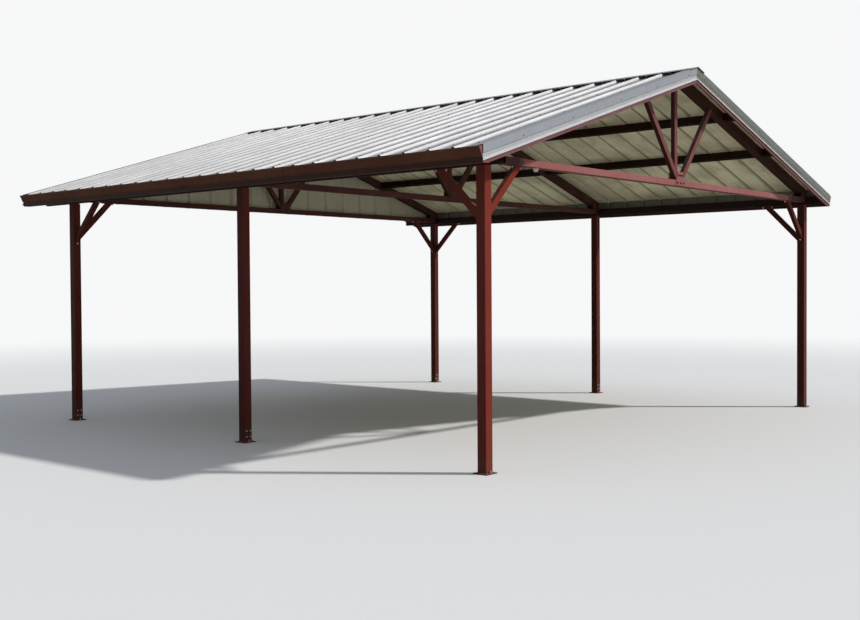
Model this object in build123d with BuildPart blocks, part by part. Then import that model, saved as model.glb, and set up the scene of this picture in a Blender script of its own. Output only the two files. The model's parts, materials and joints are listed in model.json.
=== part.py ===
from build123d import *
from math import ceil, cos, floor, radians, sin, tan
import os

# Open gable carport of bolted steel tube under ribbed metal sheets.
# X runs across the bay, Y along the ridge with the open gable at -Y, Z up from the feet.

# plan
post_span = 7250.0            # between the centres of the two rows of posts
bay_length = 3400.0           # between the centres of neighbouring posts in a row
front_overhang = 260.0        # roof edge in front of the front posts
rear_overhang = 680.0         # roof edge behind the rear posts
side_overhang = 300.0         # sheet edge outside the centre of a row of posts

# posts and feet
post_size = 102.0
post_wall = 3.2
post_corner_radius = 6.0
post_cap = 6.0                # plate welded over the top of each post
post_height = 2840.0          # floor to the underside of the side beams
base_plate = 160.0
base_plate_thickness = 10.0
anchor_spacing = 130.0       # in line along the row, one each side of the post
anchor_hole_radius = 7.0

# side beams
beam_depth = 100.0
beam_width = 50.0
tube_wall = 2.5
edge_radius = 4.0

# trusses
roof_pitch = 17.3             # degrees
truss_width = 100.0
rafter_depth = 100.0
tie_depth = 68.0
web_size = 64.0
web_angle = 51.0              # degrees above the tie
web_foot_gap = 3.6474         # between the feet of the two diagonals
gusset_thickness = 6.0
gusset_width = 190.0
gusset_rise = 95.0
heel_plate_length = 550.0
heel_plate_slope = 140.0
heel_plate_lap = 35.0
heel_rib_height = 8.0
heel_rib_proud = 10.0

# knee braces
brace_run = 465.0             # from the post, and down from the member it props
brace_size = 64.0
brace_depth = 50.0            # square to brace_size
brace_tab = 6.0
brace_tab_end = 34.0          # flat of the tab past the tube

# purlins and rake rafters
upper_purlin_run = 1130.0     # level distance from the ridge
lower_purlin_run = 2225.0
purlin_depth = 100.0
purlin_flange = 50.0
purlin_lip = 15.0
purlin_wall = 2.0
rake_width = 20.0             # flanges of the channel
rake_depth = 140.0

# ribbed sheets
sheet_thickness = 0.8
rib_pitch = 304.8
rib_height = 31.0
rib_top = 26.0
rib_base = 74.0
minor_rib_height = 5.0
minor_rib_width = 36.0
ridge_gap = 15.0
gable_rib_pitch = 390.0
closure_lap = 40.0            # the side strips lap this far down the beams
fit_gap = 0.5
notch_gap = 3.0

# ridge cap and rake trims
cap_flange = 150.0
cap_hem = 12.0                # edge turned up a little to shed water
cap_hem_rise = 4.0
cap_end = 25.0                # past the trim at each end
trim_flange_cover = 18.0      # the flange ends this far past the middle of the last rib
trim_face = 112.0
trim_upper = 72.0             # upper part of the face, which stands proud
trim_step = 7.0
trim_hem = 11.0
trim_tail = 45.0              # plumb cut this far past the sheet edge

# gutters
gutter_height = 143.0
gutter_top = 137.0
gutter_bottom = 86.0
gutter_lip = 14.0
gutter_fold = 8.0
gutter_wall = 1.0
gutter_inset = 45.0           # the back stands this far inside the sheet edge
gutter_lip_rise = 6.0         # lip above the flat of the sheet at its edge

# lamp under the front tie
lamp_offset = 825.0           # from the centre of the left post
lamp_radius = 26.0
lamp_drop = 36.0
lamp_facets = 12

# values that follow
pitch = radians(roof_pitch)
half_span = post_span / 2
roof_length = front_overhang + 2 * bay_length + rear_overhang
front_edge = -roof_length / 2
rear_edge = roof_length / 2
front_y = front_edge + front_overhang
middle_y = front_y + bay_length
rear_y = middle_y + bay_length
beam_top = post_height + beam_depth
tie_top = beam_top
tie_bottom = tie_top - tie_depth
beam_inner = half_span - beam_width / 2
beam_outer = half_span + beam_width / 2
web_depth = truss_width / 2
web_half_foot = web_size / 2 / sin(radians(web_angle))
web_foot = web_half_foot + web_foot_gap / 2
rafter_plumb = rafter_depth / cos(pitch)
ridge_underside = beam_top + rafter_plumb + beam_outer * tan(pitch)
sheet_edge = half_span + side_overhang
rafter_tail = sheet_edge - gutter_inset
slope_length = sheet_edge / cos(pitch)
last_rib = rib_pitch * (ceil((rear_edge - rib_base / 2) / rib_pitch - 0.5) - 0.5)
trim_flange = rear_edge - last_rib + trim_flange_cover
sides = {"left": -1, "right": 1}
frames = {"front": front_y, "middle": middle_y, "rear": rear_y}
bays = [
    (front_edge + rake_width, front_y - truss_width / 2),
    (front_y + truss_width / 2, middle_y - truss_width / 2),
    (middle_y + truss_width / 2, rear_y - truss_width / 2),
    (rear_y + truss_width / 2, rear_edge - rake_width),
]

os.makedirs("parts", exist_ok=True)


def sheet_z(x):
    """Height of the underside of the sheets above the level position x."""
    return ridge_underside - abs(x) * tan(pitch)


def rafter_z(x):
    """Height of the underside of the rafters above the level position x."""
    return sheet_z(x) - rafter_plumb


def cross_plane(y):
    """Plane across the bay at y, with local x to the right and local y up."""
    return Plane(origin=(0, y, 0), x_dir=(1, 0, 0), z_dir=(0, -1, 0))


def side_plane(x):
    """Plane along a row of posts, with local x to the rear and local y up."""
    return Plane(origin=(x, 0, 0), x_dir=(0, 1, 0), z_dir=(1, 0, 0))


def slope_section(side, run, y):
    """Plane across a purlin: local x down the slope, local y square to the sheet."""
    return Plane(
        origin=(side * run, y, sheet_z(run)),
        x_dir=(side * cos(pitch), 0, -sin(pitch)),
        z_dir=(0, -side, 0),
    )


def slope_end(side):
    """Plane square to a slope at the ridge: local x along the ridge, local y square to the sheet."""
    return Plane(
        origin=(0, 0, ridge_underside),
        x_dir=(0, side, 0),
        z_dir=(side * cos(pitch), 0, -sin(pitch)),
    )


def skin(points, thickness):
    """Closed outline of a bent sheet: the chain of points, thickened to its left."""
    inner = [Vector(*point) for point in points]
    outer = []
    for index, corner in enumerate(inner):
        before = (corner - inner[index - 1]).normalized() if index else None
        after = (inner[index + 1] - corner).normalized() if index + 1 < len(inner) else None
        first = before or after
        second = after or before
        normal_1 = Vector(-first.Y, first.X)
        normal_2 = Vector(-second.Y, second.X)
        bisector = (normal_1 + normal_2).normalized()
        outer.append(corner + bisector * (thickness / bisector.dot(normal_1)))
    return [(p.X, p.Y) for p in inner + outer[::-1]]


def rib_chain(start, end, spacing, height, minors):
    """Ribbed sheet from start to end, its ribs on a grid centred on zero."""
    chain = [(start, 0.0)]
    first = floor(start / spacing) - 1
    last = floor(end / spacing) + 1
    for number in range(first, last + 1):
        centre = (number + 0.5) * spacing
        if centre - rib_base / 2 > start and centre + rib_base / 2 < end:
            chain.append((centre - rib_base / 2, 0.0))
            chain.append((centre - rib_top / 2, height))
            chain.append((centre + rib_top / 2, height))
            chain.append((centre + rib_base / 2, 0.0))
        for step in minors:
            middle = centre + step * spacing
            if middle - minor_rib_width > start and middle + minor_rib_width < end:
                chain.append((middle - minor_rib_width / 2, 0.0))
                chain.append((middle, minor_rib_height))
                chain.append((middle + minor_rib_width / 2, 0.0))
    chain.append((end, 0.0))
    return chain


def save(piece, name):
    """Label a finished piece and write it."""
    piece.part.label = name
    export_step(piece.part, "parts/" + name + ".step")


# posts: square tube with a plate welded over the top
for frame_name, post_y in frames.items():
    for side_name, side in sides.items():
        with BuildPart() as post:
            with BuildSketch(Plane.XY.offset(base_plate_thickness)):
                with Locations((side * half_span, post_y)):
                    RectangleRounded(post_size, post_size, post_corner_radius)
            extrude(amount=post_height - base_plate_thickness)
            with BuildSketch(Plane.XY.offset(base_plate_thickness)):
                with Locations((side * half_span, post_y)):
                    Rectangle(post_size - 2 * post_wall, post_size - 2 * post_wall)
            extrude(amount=post_height - base_plate_thickness - post_cap, mode=Mode.SUBTRACT)
        save(post, "post_" + frame_name + "_" + side_name)

# base plates: one under each post, with an anchor hole in front of the post and one behind
with BuildPart() as base_plates:
    with BuildSketch():
        for post_y in frames.values():
            for side in sides.values():
                with Locations((side * half_span, post_y)):
                    Rectangle(base_plate, base_plate)
                    with GridLocations(0, anchor_spacing, 1, 2):
                        Circle(anchor_hole_radius, mode=Mode.SUBTRACT)
    extrude(amount=base_plate_thickness)
save(base_plates, "base_plates")

# side beams: rectangular tube on the post tops, between the rake rafters
for side_name, side in sides.items():
    with BuildPart() as beam:
        with BuildSketch(cross_plane(0)):
            with Locations((side * half_span, post_height + beam_depth / 2)):
                RectangleRounded(beam_width, beam_depth, edge_radius)
                Rectangle(beam_width - 2 * tube_wall, beam_depth - 2 * tube_wall, mode=Mode.SUBTRACT)
        extrude(amount=roof_length / 2 - rake_width, both=True)
    save(beam, "side_beam_" + side_name)


def rafter_outline(side, depth, inset):
    """Side view of a rafter, plumb cut at the ridge and the tail, drawn in by inset."""
    top = inset / cos(pitch)
    bottom = (depth - inset) / cos(pitch)
    return [
        (0, sheet_z(0) - top),
        (side * rafter_tail, sheet_z(rafter_tail) - top),
        (side * rafter_tail, sheet_z(rafter_tail) - bottom),
        (0, sheet_z(0) - bottom),
    ]


# rafters of the trusses: square tube
for frame_name, frame_y in frames.items():
    for side_name, side in sides.items():
        with BuildPart() as rafter:
            with BuildSketch(cross_plane(frame_y)):
                with BuildLine():
                    Polyline(*rafter_outline(side, rafter_depth, 0), close=True)
                make_face()
            extrude(amount=truss_width / 2, both=True)
            with BuildSketch(cross_plane(frame_y)):
                with BuildLine():
                    Polyline(*rafter_outline(side, rafter_depth, tube_wall), close=True)
                make_face()
            extrude(amount=truss_width / 2 - tube_wall, both=True, mode=Mode.SUBTRACT)
        save(rafter, "rafter_" + frame_name + "_" + side_name)

# rake rafters: a deeper channel at each end of the roof, its open side turned inward
for end_name, edge, inward in (("front", front_edge, 1), ("rear", rear_edge, -1)):
    for side_name, side in sides.items():
        with BuildPart() as rake_rafter:
            with BuildSketch(cross_plane(edge + inward * rake_width / 2)):
                with BuildLine():
                    Polyline(*rafter_outline(side, rake_depth, 0), close=True)
                make_face()
            extrude(amount=rake_width / 2, both=True)
            with BuildSketch(cross_plane(edge + inward * (rake_width / 2 + tube_wall))):
                with BuildLine():
                    Polyline(*rafter_outline(side, rake_depth, tube_wall), close=True)
                make_face()
            extrude(amount=rake_width / 2, both=True, mode=Mode.SUBTRACT)
        save(rake_rafter, "rake_rafter_" + end_name + "_" + side_name)


def heel_outline(side):
    """Plate that joins the tie and the rafter beside the beam."""
    inner_end = beam_inner - heel_plate_length
    step = beam_inner - heel_plate_slope
    return [
        (side * beam_inner, tie_bottom),
        (side * inner_end, tie_bottom),
        (side * inner_end, tie_top),
        (side * step, tie_top),
        (side * (step + heel_plate_lap), rafter_z(step) + heel_plate_lap),
        (side * beam_inner, rafter_z(beam_inner) + heel_plate_lap),
    ]


# ties: tube between the beams, with gusset plates at the middle and ribbed plates at the heels
for frame_name, frame_y in frames.items():
    with BuildPart() as tie:
        with BuildSketch(Plane.YZ.offset(-beam_inner)):
            with Locations((frame_y, tie_top - tie_depth / 2)):
                RectangleRounded(truss_width, tie_depth, edge_radius)
                Rectangle(truss_width - 2 * tube_wall, tie_depth - 2 * tube_wall, mode=Mode.SUBTRACT)
        extrude(amount=2 * beam_inner)
        for face in (-1, 1):
            plate_y = frame_y + face * (truss_width / 2 + gusset_thickness / 2)
            with BuildSketch(cross_plane(plate_y)):
                with BuildLine():
                    Polyline(
                        (-gusset_width / 2, tie_bottom + edge_radius),
                        (gusset_width / 2, tie_bottom + edge_radius),
                        (gusset_width / 2, tie_top),
                        (gusset_width / 2 - gusset_rise / 3, tie_top + gusset_rise),
                        (gusset_rise / 3 - gusset_width / 2, tie_top + gusset_rise),
                        (-gusset_width / 2, tie_top),
                        close=True,
                    )
                make_face()
                for side in sides.values():
                    with BuildLine():
                        Polyline(*heel_outline(side), close=True)
                    make_face()
            extrude(amount=gusset_thickness / 2, both=True)
        with BuildSketch(cross_plane(frame_y - truss_width / 2 - gusset_thickness)):
            for side in sides.values():
                for rib_z in (tie_bottom + heel_rib_height / 2, tie_top - heel_rib_height / 2):
                    with Locations((side * (beam_inner - heel_plate_length / 2), rib_z)):
                        Rectangle(heel_plate_length, heel_rib_height)
        extrude(amount=heel_rib_proud)
    save(tie, "tie_" + frame_name)


# lamp: a small faceted dome under the front tie, close to the left brace
with BuildPart() as lamp:
    with BuildSketch(Plane.XY.offset(tie_bottom)):
        with Locations((lamp_offset - half_span, front_y)):
            RegularPolygon(lamp_radius, lamp_facets)
    extrude(amount=-lamp_drop)
    for bevel in (0.36, 0.2):
        chamfer(lamp.faces().sort_by(Axis.Z)[0].edges(), length=lamp_drop * bevel)
save(lamp, "dome_lamp")


def web_outline(side):
    """Side view of a diagonal from the tie to the underside of the rafter."""
    lean = tan(radians(web_angle))
    outline = []
    for foot in (web_foot - web_half_foot, web_foot + web_half_foot):
        head = (rafter_z(0) - tie_top + foot * lean) / (lean + tan(pitch))
        outline.append([(side * foot, tie_top), (side * head, rafter_z(head))])
    return [outline[0][0], outline[1][0], outline[1][1], outline[0][1]]


# webs: king post on the rear half of the tie, two diagonals on the front half
for frame_name, frame_y in frames.items():
    with BuildPart() as webs:
        with BuildSketch(cross_plane(frame_y + web_depth / 2)):
            with BuildLine():
                Polyline(
                    (-web_size / 2, tie_top),
                    (web_size / 2, tie_top),
                    (web_size / 2, rafter_z(web_size / 2)),
                    (0, rafter_z(0)),
                    (-web_size / 2, rafter_z(web_size / 2)),
                    close=True,
                )
            make_face()
        extrude(amount=web_depth / 2 - fit_gap, both=True)
        with BuildSketch(cross_plane(frame_y - web_depth / 2)):
            for side in sides.values():
                with BuildLine():
                    Polyline(*web_outline(side), close=True)
                make_face()
        extrude(amount=web_depth / 2 - fit_gap, both=True)
    save(webs, "truss_webs_" + frame_name)


def brace_outline(face, away, top):
    """Side view of a 45 degree brace from a post face up to a member above it."""
    foot = top - brace_run
    half = brace_size / 2 / cos(radians(45))
    return [
        (face + away * brace_tab, foot + brace_tab - half),
        (face + away * (brace_run - brace_tab + half), top - brace_tab),
        (face + away * (brace_run - brace_tab - half), top - brace_tab),
        (face + away * brace_tab, foot + brace_tab + half),
    ]


def brace_tabs(face, away, top):
    """The two flat tabs of a brace, as (centre, size) of their side views."""
    half = brace_size / 2 / cos(radians(45))
    long = 2 * (half + brace_tab_end)
    foot_centre = (face + away * brace_tab / 2, top - brace_run + brace_tab)
    head_centre = (face + away * (brace_run - brace_tab), top - brace_tab / 2)
    return [(foot_centre, (brace_tab, long)), (head_centre, (long, brace_tab))]


# knee braces: at each corner one under the tie and one under the side beam
for frame_name, away in (("front", 1), ("rear", -1)):
    post_y = frames[frame_name]
    for side_name, side in sides.items():
        across = (side * (half_span - post_size / 2), -side, tie_bottom)
        along = (post_y + away * post_size / 2, away, post_height)
        with BuildPart() as braces:
            for plane, brace in ((cross_plane(post_y), across), (side_plane(side * half_span), along)):
                with BuildSketch(plane):
                    with BuildLine():
                        Polyline(*brace_outline(*brace), close=True)
                    make_face()
                    for centre, size in brace_tabs(*brace):
                        with Locations(centre):
                            Rectangle(*size)
                extrude(amount=brace_depth / 2, both=True)
        save(braces, "knee_braces_" + frame_name + "_" + side_name)

# purlins: lipped channels between the rafters, flush under the sheets
purlins = {"upper": upper_purlin_run, "lower": lower_purlin_run}
cee = [
    (purlin_flange / 2, -purlin_lip),
    (purlin_flange / 2, 0),
    (-purlin_flange / 2, 0),
    (-purlin_flange / 2, -purlin_depth),
    (purlin_flange / 2, -purlin_depth),
    (purlin_flange / 2, purlin_lip - purlin_depth),
]
for purlin_name, run in purlins.items():
    for side_name, side in sides.items():
        with BuildPart() as purlin:
            for start, end in bays:
                with BuildSketch(slope_section(side, run, (start + end) / 2)):
                    with BuildLine():
                        Polyline(*skin(cee, purlin_wall), close=True)
                    make_face()
                extrude(amount=(end - start) / 2, both=True)
        save(purlin, "purlin_" + purlin_name + "_" + side_name)

# roof sheets: ribs run down the slope, major ribs with two minor ones between
roof_chain = rib_chain(front_edge, rear_edge, rib_pitch, rib_height, (1 / 3, 2 / 3))
for side_name, side in sides.items():
    with BuildPart() as sheet:
        with BuildSketch(slope_end(side).offset(ridge_gap)):
            with BuildLine():
                Polyline(*skin(roof_chain, sheet_thickness), close=True)
            make_face()
        extrude(amount=slope_length - ridge_gap)
    save(sheet, "roof_sheet_" + side_name)

# ridge cap: bent sheet over the rib tops and the trims
cap_lift = rib_height + 2 * sheet_thickness + 2 * fit_gap


def slope_point(side, down, lift):
    """Point in the cross section, given down the slope and square to the sheet."""
    x = side * (down * cos(pitch) + lift * sin(pitch))
    z = ridge_underside - down * sin(pitch) + lift * cos(pitch)
    return (x, z)


with BuildPart() as ridge_cap:
    with BuildSketch(cross_plane(0)):
        with BuildLine():
            cap_chain = [
                slope_point(1, cap_flange + cap_hem, cap_lift + cap_hem_rise),
                slope_point(1, cap_flange, cap_lift),
                (0, ridge_underside + cap_lift / cos(pitch)),
                slope_point(-1, cap_flange, cap_lift),
                slope_point(-1, cap_flange + cap_hem, cap_lift + cap_hem_rise),
            ]
            Polyline(*skin([(x, z) for x, z in reversed(cap_chain)], sheet_thickness), close=True)
        make_face()
    extrude(amount=roof_length / 2 + cap_end, both=True)
save(ridge_cap, "ridge_cap")

# rake trims: stepped angle over the sheet edge, with its hem kicked out, mitred at the ridge
# and cut plumb at the tail
trim_top = rib_height + sheet_thickness + fit_gap
trim_chain = [
    (trim_flange, trim_top),
    (-fit_gap - trim_step, trim_top),
    (-fit_gap - trim_step, trim_top - trim_upper),
    (-fit_gap, trim_top - trim_upper - trim_step),
    (-fit_gap, trim_top - trim_face),
    (-fit_gap - trim_hem, trim_top - trim_face - trim_hem),
]
for end_name, edge, inward in (("front", front_edge, 1), ("rear", rear_edge, -1)):
    for side_name, side in sides.items():
        turn = side * inward
        outline = [(side * edge + turn * x, v) for x, v in trim_chain]
        if turn < 0:
            outline = outline[::-1]
        with BuildPart() as trim:
            with BuildSketch(slope_end(side).offset(-trim_face)):
                with BuildLine():
                    Polyline(*skin(outline[::-1], sheet_thickness), close=True)
                make_face()
            extrude(amount=slope_length + 2 * trim_face + trim_tail)
            split(bisect_by=Plane.YZ.offset(side * fit_gap / 2), keep=Keep.TOP if side > 0 else Keep.BOTTOM)
            split(bisect_by=Plane.YZ.offset(side * (sheet_edge + trim_tail)), keep=Keep.BOTTOM if side > 0 else Keep.TOP)
        save(trim, "rake_trim_" + end_name + "_" + side_name)

# gutters: back against the rafter tails, face stepped out to a rolled lip, ends closed
lip_z = sheet_z(sheet_edge) + gutter_lip_rise
gutter_floor = lip_z - gutter_height
back_z = sheet_z(rafter_tail + fit_gap + gutter_wall) - fit_gap
ogee_foot = gutter_floor + gutter_height * 0.35
ogee_bead = gutter_floor + gutter_height * 0.4
ogee_neck = gutter_floor + gutter_height * 0.88
ogee_step = gutter_top - gutter_bottom
for side_name, side in sides.items():
    back_x = rafter_tail + fit_gap
    chain = [
        (back_x, back_z),
        (back_x, gutter_floor),
        (back_x + gutter_bottom, gutter_floor),
        (back_x + gutter_bottom, ogee_foot),
        (back_x + gutter_bottom + ogee_step * 0.25, ogee_bead),
        (back_x + gutter_bottom + ogee_step * 0.9, ogee_neck),
        (back_x + gutter_top, ogee_neck),
        (back_x + gutter_top, lip_z),
        (back_x + gutter_top - gutter_lip, lip_z),
        (back_x + gutter_top - gutter_lip, lip_z - gutter_fold),
    ]
    cap_chain = chain[:8] + [
        (sheet_edge + gutter_wall, lip_z),
        (sheet_edge + gutter_wall, sheet_z(sheet_edge + gutter_wall) - fit_gap),
    ]
    end_outline = [(side * x, z) for x, z in cap_chain]
    wall_outline = [(side * x, z) for x, z in skin(chain, gutter_wall)]
    with BuildPart() as gutter:
        with BuildSketch(cross_plane(0)):
            with BuildLine():
                Polyline(*wall_outline, close=True)
            make_face()
        extrude(amount=roof_length / 2, both=True)
        for end_y in (front_edge + gutter_wall / 2, rear_edge - gutter_wall / 2):
            with BuildSketch(cross_plane(end_y)):
                with BuildLine():
                    Polyline(*end_outline, close=True)
                make_face()
            extrude(amount=gutter_wall / 2, both=True)
    save(gutter, "gutter_" + side_name)

# side closures: ribbed strips between the rafters that shut the gap over each beam
closure_low = beam_top - closure_lap
for side_name, side in sides.items():
    with BuildPart() as closure:
        for start, end in bays:
            chain = rib_chain(start + fit_gap, end - fit_gap, rib_pitch, rib_height / 2, ())
            outline = [(side * (beam_outer + v), y) for y, v in skin(chain, sheet_thickness)]
            with BuildSketch(Plane.XY.offset(closure_low)):
                with BuildLine():
                    Polyline(*outline, close=True)
                make_face()
            extrude(amount=sheet_z(beam_outer) - closure_low)
        under_roof = slope_section(side, half_span, 0)
        roof_side = Plane(origin=under_roof.origin - under_roof.y_dir * fit_gap, z_dir=under_roof.y_dir)
        split(bisect_by=roof_side, keep=Keep.BOTTOM)
    save(closure, "side_closure_" + side_name)

# rear gable sheet: upright ribs outside the rear truss, notched round the purlins
gable_half = beam_inner - fit_gap
gable_y = rear_y + truss_width / 2 + gusset_thickness + fit_gap
with BuildPart() as gable:
    with BuildSketch(Plane.XY.offset(tie_bottom)):
        chain = rib_chain(-gable_half, gable_half, gable_rib_pitch, rib_height, (1 / 3, 2 / 3))
        outline = [(x, gable_y + v) for x, v in skin(chain, sheet_thickness)]
        with BuildLine():
            Polyline(*outline, close=True)
        make_face()
    extrude(amount=ridge_underside - tie_bottom)
    with BuildSketch(cross_plane(gable_y)):
        with BuildLine():
            Polyline(
                (-gable_half, tie_bottom),
                (gable_half, tie_bottom),
                (gable_half, sheet_z(gable_half) - fit_gap),
                (0, ridge_underside - fit_gap),
                (-gable_half, sheet_z(gable_half) - fit_gap),
                close=True,
            )
        make_face()
    extrude(amount=2 * rib_height, both=True, mode=Mode.INTERSECT)
    for run in purlins.values():
        for side in sides.values():
            with BuildSketch(slope_section(side, run, gable_y)):
                with Locations((0, -purlin_depth / 2)):
                    Rectangle(purlin_flange + 2 * notch_gap, purlin_depth + 2 * notch_gap)
            extrude(amount=2 * rib_height, both=True, mode=Mode.SUBTRACT)
save(gable, "rear_gable_sheet")
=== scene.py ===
"""Looks, small hardware, studio and camera of a painted steel carport with a bare ribbed roof.

Every piece is in metres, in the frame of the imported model: X across the bay, Y along the
ridge with the open gable at -Y, Z up from the feet.
"""

from __future__ import annotations

import json
import logging
import math
from collections.abc import Iterable, Sequence
from dataclasses import dataclass, field
from enum import Enum

import bmesh
import bpy
from mathutils import Matrix, Vector

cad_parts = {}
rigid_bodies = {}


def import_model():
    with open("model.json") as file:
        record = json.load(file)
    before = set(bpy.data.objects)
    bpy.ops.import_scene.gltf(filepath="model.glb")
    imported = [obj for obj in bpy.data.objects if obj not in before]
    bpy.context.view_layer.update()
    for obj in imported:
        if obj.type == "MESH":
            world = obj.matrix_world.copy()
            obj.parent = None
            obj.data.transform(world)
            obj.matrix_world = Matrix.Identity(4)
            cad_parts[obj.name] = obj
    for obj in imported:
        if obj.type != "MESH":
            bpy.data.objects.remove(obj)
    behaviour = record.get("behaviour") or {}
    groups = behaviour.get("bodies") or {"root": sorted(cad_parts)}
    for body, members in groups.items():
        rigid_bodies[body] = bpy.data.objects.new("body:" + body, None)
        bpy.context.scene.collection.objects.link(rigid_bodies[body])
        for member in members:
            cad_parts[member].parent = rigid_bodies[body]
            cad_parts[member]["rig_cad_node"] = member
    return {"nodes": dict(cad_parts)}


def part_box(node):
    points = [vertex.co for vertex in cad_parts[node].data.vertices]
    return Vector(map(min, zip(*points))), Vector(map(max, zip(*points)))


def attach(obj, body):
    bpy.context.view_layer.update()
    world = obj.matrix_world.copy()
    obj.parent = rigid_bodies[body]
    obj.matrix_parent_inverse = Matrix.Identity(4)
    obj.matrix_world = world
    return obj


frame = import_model()

log = logging.getLogger("carport")

Colour = tuple[float, float, float]
Point = tuple[float, float]
Range = tuple[float, float]
Socket = bpy.types.NodeSocket
Sockets = bpy.types.bpy_prop_collection
Results = dict[str, Socket]

BOTH_WAYS = (-1, 1)
LAP_GAP = 0.0001


# ---------------------------------------------------------------- named choices


class Place(Enum):
    """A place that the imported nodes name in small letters."""

    @property
    def word(self) -> str:
        """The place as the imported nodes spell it."""
        return self.name.lower()


class Side(Place):
    """The two rows of posts and the slopes above them."""

    LEFT = -1
    RIGHT = 1


class Row(Enum):
    """The three trusses from the open gable to the back."""

    FRONT = "front"
    MIDDLE = "middle"
    REAR = "rear"


class End(Place):
    """The two ends of the roof along the ridge."""

    FRONT = -1
    REAR = 1


class Slot(Enum):
    """The record's material slots."""

    FRAME = "painted_frame"
    ROOF = "bare_roof_sheet"
    WALL = "wall_sheet"
    GUTTER = "painted_gutter"
    LAMP = "lamp_white"


# ---------------------------------------------------------------- node wiring


class Wiring:
    """Adds nodes to one node tree from left to right and joins their sockets."""

    def __init__(self, tree: bpy.types.NodeTree) -> None:
        """Keep the tree and start with no nodes laid out."""
        self.tree = tree
        self.laid = 0

    def node(
        self,
        kind: str,
        inputs: dict[str | int, object] | None = None,
        **settings: object,
    ) -> bpy.types.Node:
        """Add one node.

        Args:
            kind: The node type without its ShaderNode prefix.
            inputs: Values or output sockets, by the input's name or number.
            **settings: Properties of the node itself.

        Returns:
            The new node.
        """
        made = self.tree.nodes.new("ShaderNode" + kind)
        made.location = (220 * (self.laid % 12), -260 * (self.laid // 12))
        self.laid += 1
        for key, value in settings.items():
            setattr(made, key, value)
        for key, value in (inputs or {}).items():
            self.feed(made.inputs[key], value)
        return made

    def feed(self, socket: Socket, value: object) -> None:
        """Join an output socket to an input, or write a plain value on it.

        Args:
            socket: The input that receives the value.
            value: An output socket, a number, or a colour of three parts.
        """
        if isinstance(value, Socket):
            self.tree.links.new(value, socket)
        elif isinstance(value, tuple) and socket.type == "RGBA":
            socket.default_value = (*value, 1.0)
        else:
            socket.default_value = value

    def math(self, operation: str, a: object, b: object = 0.0, clamp: bool = False) -> Socket:
        """Work out one sum of two values.

        Args:
            operation: Blender's name of the operation.
            a: First value or socket.
            b: Second value or socket.
            clamp: Keep the result between 0 and 1.

        Returns:
            The result's socket.
        """
        return self.node("Math", {0: a, 1: b}, operation=operation, use_clamp=clamp).outputs[0]

    def times(self, a: object, b: object, clamp: bool = False) -> Socket:
        """Multiply two values."""
        return self.math("MULTIPLY", a, b, clamp)

    def plus(self, a: object, b: object, clamp: bool = False) -> Socket:
        """Add two values."""
        return self.math("ADD", a, b, clamp)

    def minus(self, a: object, b: object, clamp: bool = False) -> Socket:
        """Take the second value from the first."""
        return self.math("SUBTRACT", a, b, clamp)

    def total(self, start: float, *terms: tuple[object, float]) -> Socket:
        """Add shares of several values to a number and keep the sum between 0 and 1.

        Args:
            start: The number.
            *terms: Pairs of a value of 0 or more and its share.

        Returns:
            The sum's socket.
        """
        made: object = start
        for value, share in terms:
            made = self.plus(made, self.times(value, share), clamp=True)
        return made

    def mix(self, factor: object, a: object, b: object, blend: str = "MIX") -> Socket:
        """Mix two colours.

        Args:
            factor: Share of the second colour.
            a: First colour or socket.
            b: Second colour or socket.
            blend: Blender's name of the blend.

        Returns:
            The mixed colour's socket.
        """
        ends = {0: factor, 6: a, 7: b}
        made = self.node("Mix", ends, data_type="RGBA", blend_type=blend, clamp_factor=True)
        return made.outputs[2]

    def blend(self, factor: object, a: object, b: object) -> Socket:
        """Go from one number to another by a factor."""
        return self.node("Mix", {0: factor, 2: a, 3: b}, data_type="FLOAT").outputs[0]

    def between(
        self,
        value: object,
        low: object,
        high: object,
        to_low: float = 0.0,
        to_high: float = 1.0,
    ) -> Socket:
        """Ease a value from one range to another.

        Args:
            value: The value or socket to read.
            low: Reading that gives to_low.
            high: Reading that gives to_high.
            to_low: Result at low.
            to_high: Result at high.

        Returns:
            The eased value's socket.
        """
        ends = {0: value, 1: low, 2: high, 3: to_low, 4: to_high}
        return self.node("MapRange", ends, interpolation_type="SMOOTHSTEP").outputs[0]

    def cloud(self, vector: object, scale: object, detail: float, rough: float) -> Socket:
        """Read a noise cloud.

        Args:
            vector: Where to read it.
            scale: Clouds to the metre.
            detail: Octaves of smaller clouds.
            rough: Weight of the smaller clouds.

        Returns:
            The cloud's value, about 0.5 on average.
        """
        inputs = {"Vector": vector, "Scale": scale, "Detail": detail, "Roughness": rough}
        return self.node("TexNoise", inputs).outputs["Fac"]

    def sway(self, vector: object, scale: float, reach: float) -> Socket:
        """Give a soft unevenness about zero, for the edge of a stain."""
        return self.times(self.minus(self.cloud(vector, scale, 4.0, 0.6), 0.5), reach)

    def place(self) -> Socket:
        """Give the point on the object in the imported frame."""
        return self.node("TexCoord").outputs["Object"]

    def facing(self) -> Socket:
        """Give the way that the face looks."""
        return self.node("NewGeometry").outputs["Normal"]

    def axes(self, vector: object) -> Sockets:
        """Split a vector into its X, Y and Z."""
        return self.node("SeparateXYZ", {0: vector}).outputs

    def agreement(self, a: object, b: object) -> Socket:
        """Tell how far two ways agree, which is 1 when they are the same."""
        return self.node("VectorMath", {0: a, 1: b}, operation="DOT_PRODUCT").outputs["Value"]

    def stretch(self, vector: object, scale: tuple[float, float, float]) -> Socket:
        """Scale a point by axis, so that a cloud read there runs long along the smallest one."""
        return self.node("VectorMath", {0: vector, 1: scale}, operation="MULTIPLY").outputs[0]

    def bump(self, height: object, strength: float, distance: float) -> Socket:
        """Give the normal of a surface raised by a height."""
        inputs = {"Height": height, "Strength": strength, "Distance": distance}
        return self.node("Bump", inputs).outputs[0]


# ---------------------------------------------------------------- shared effects


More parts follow.
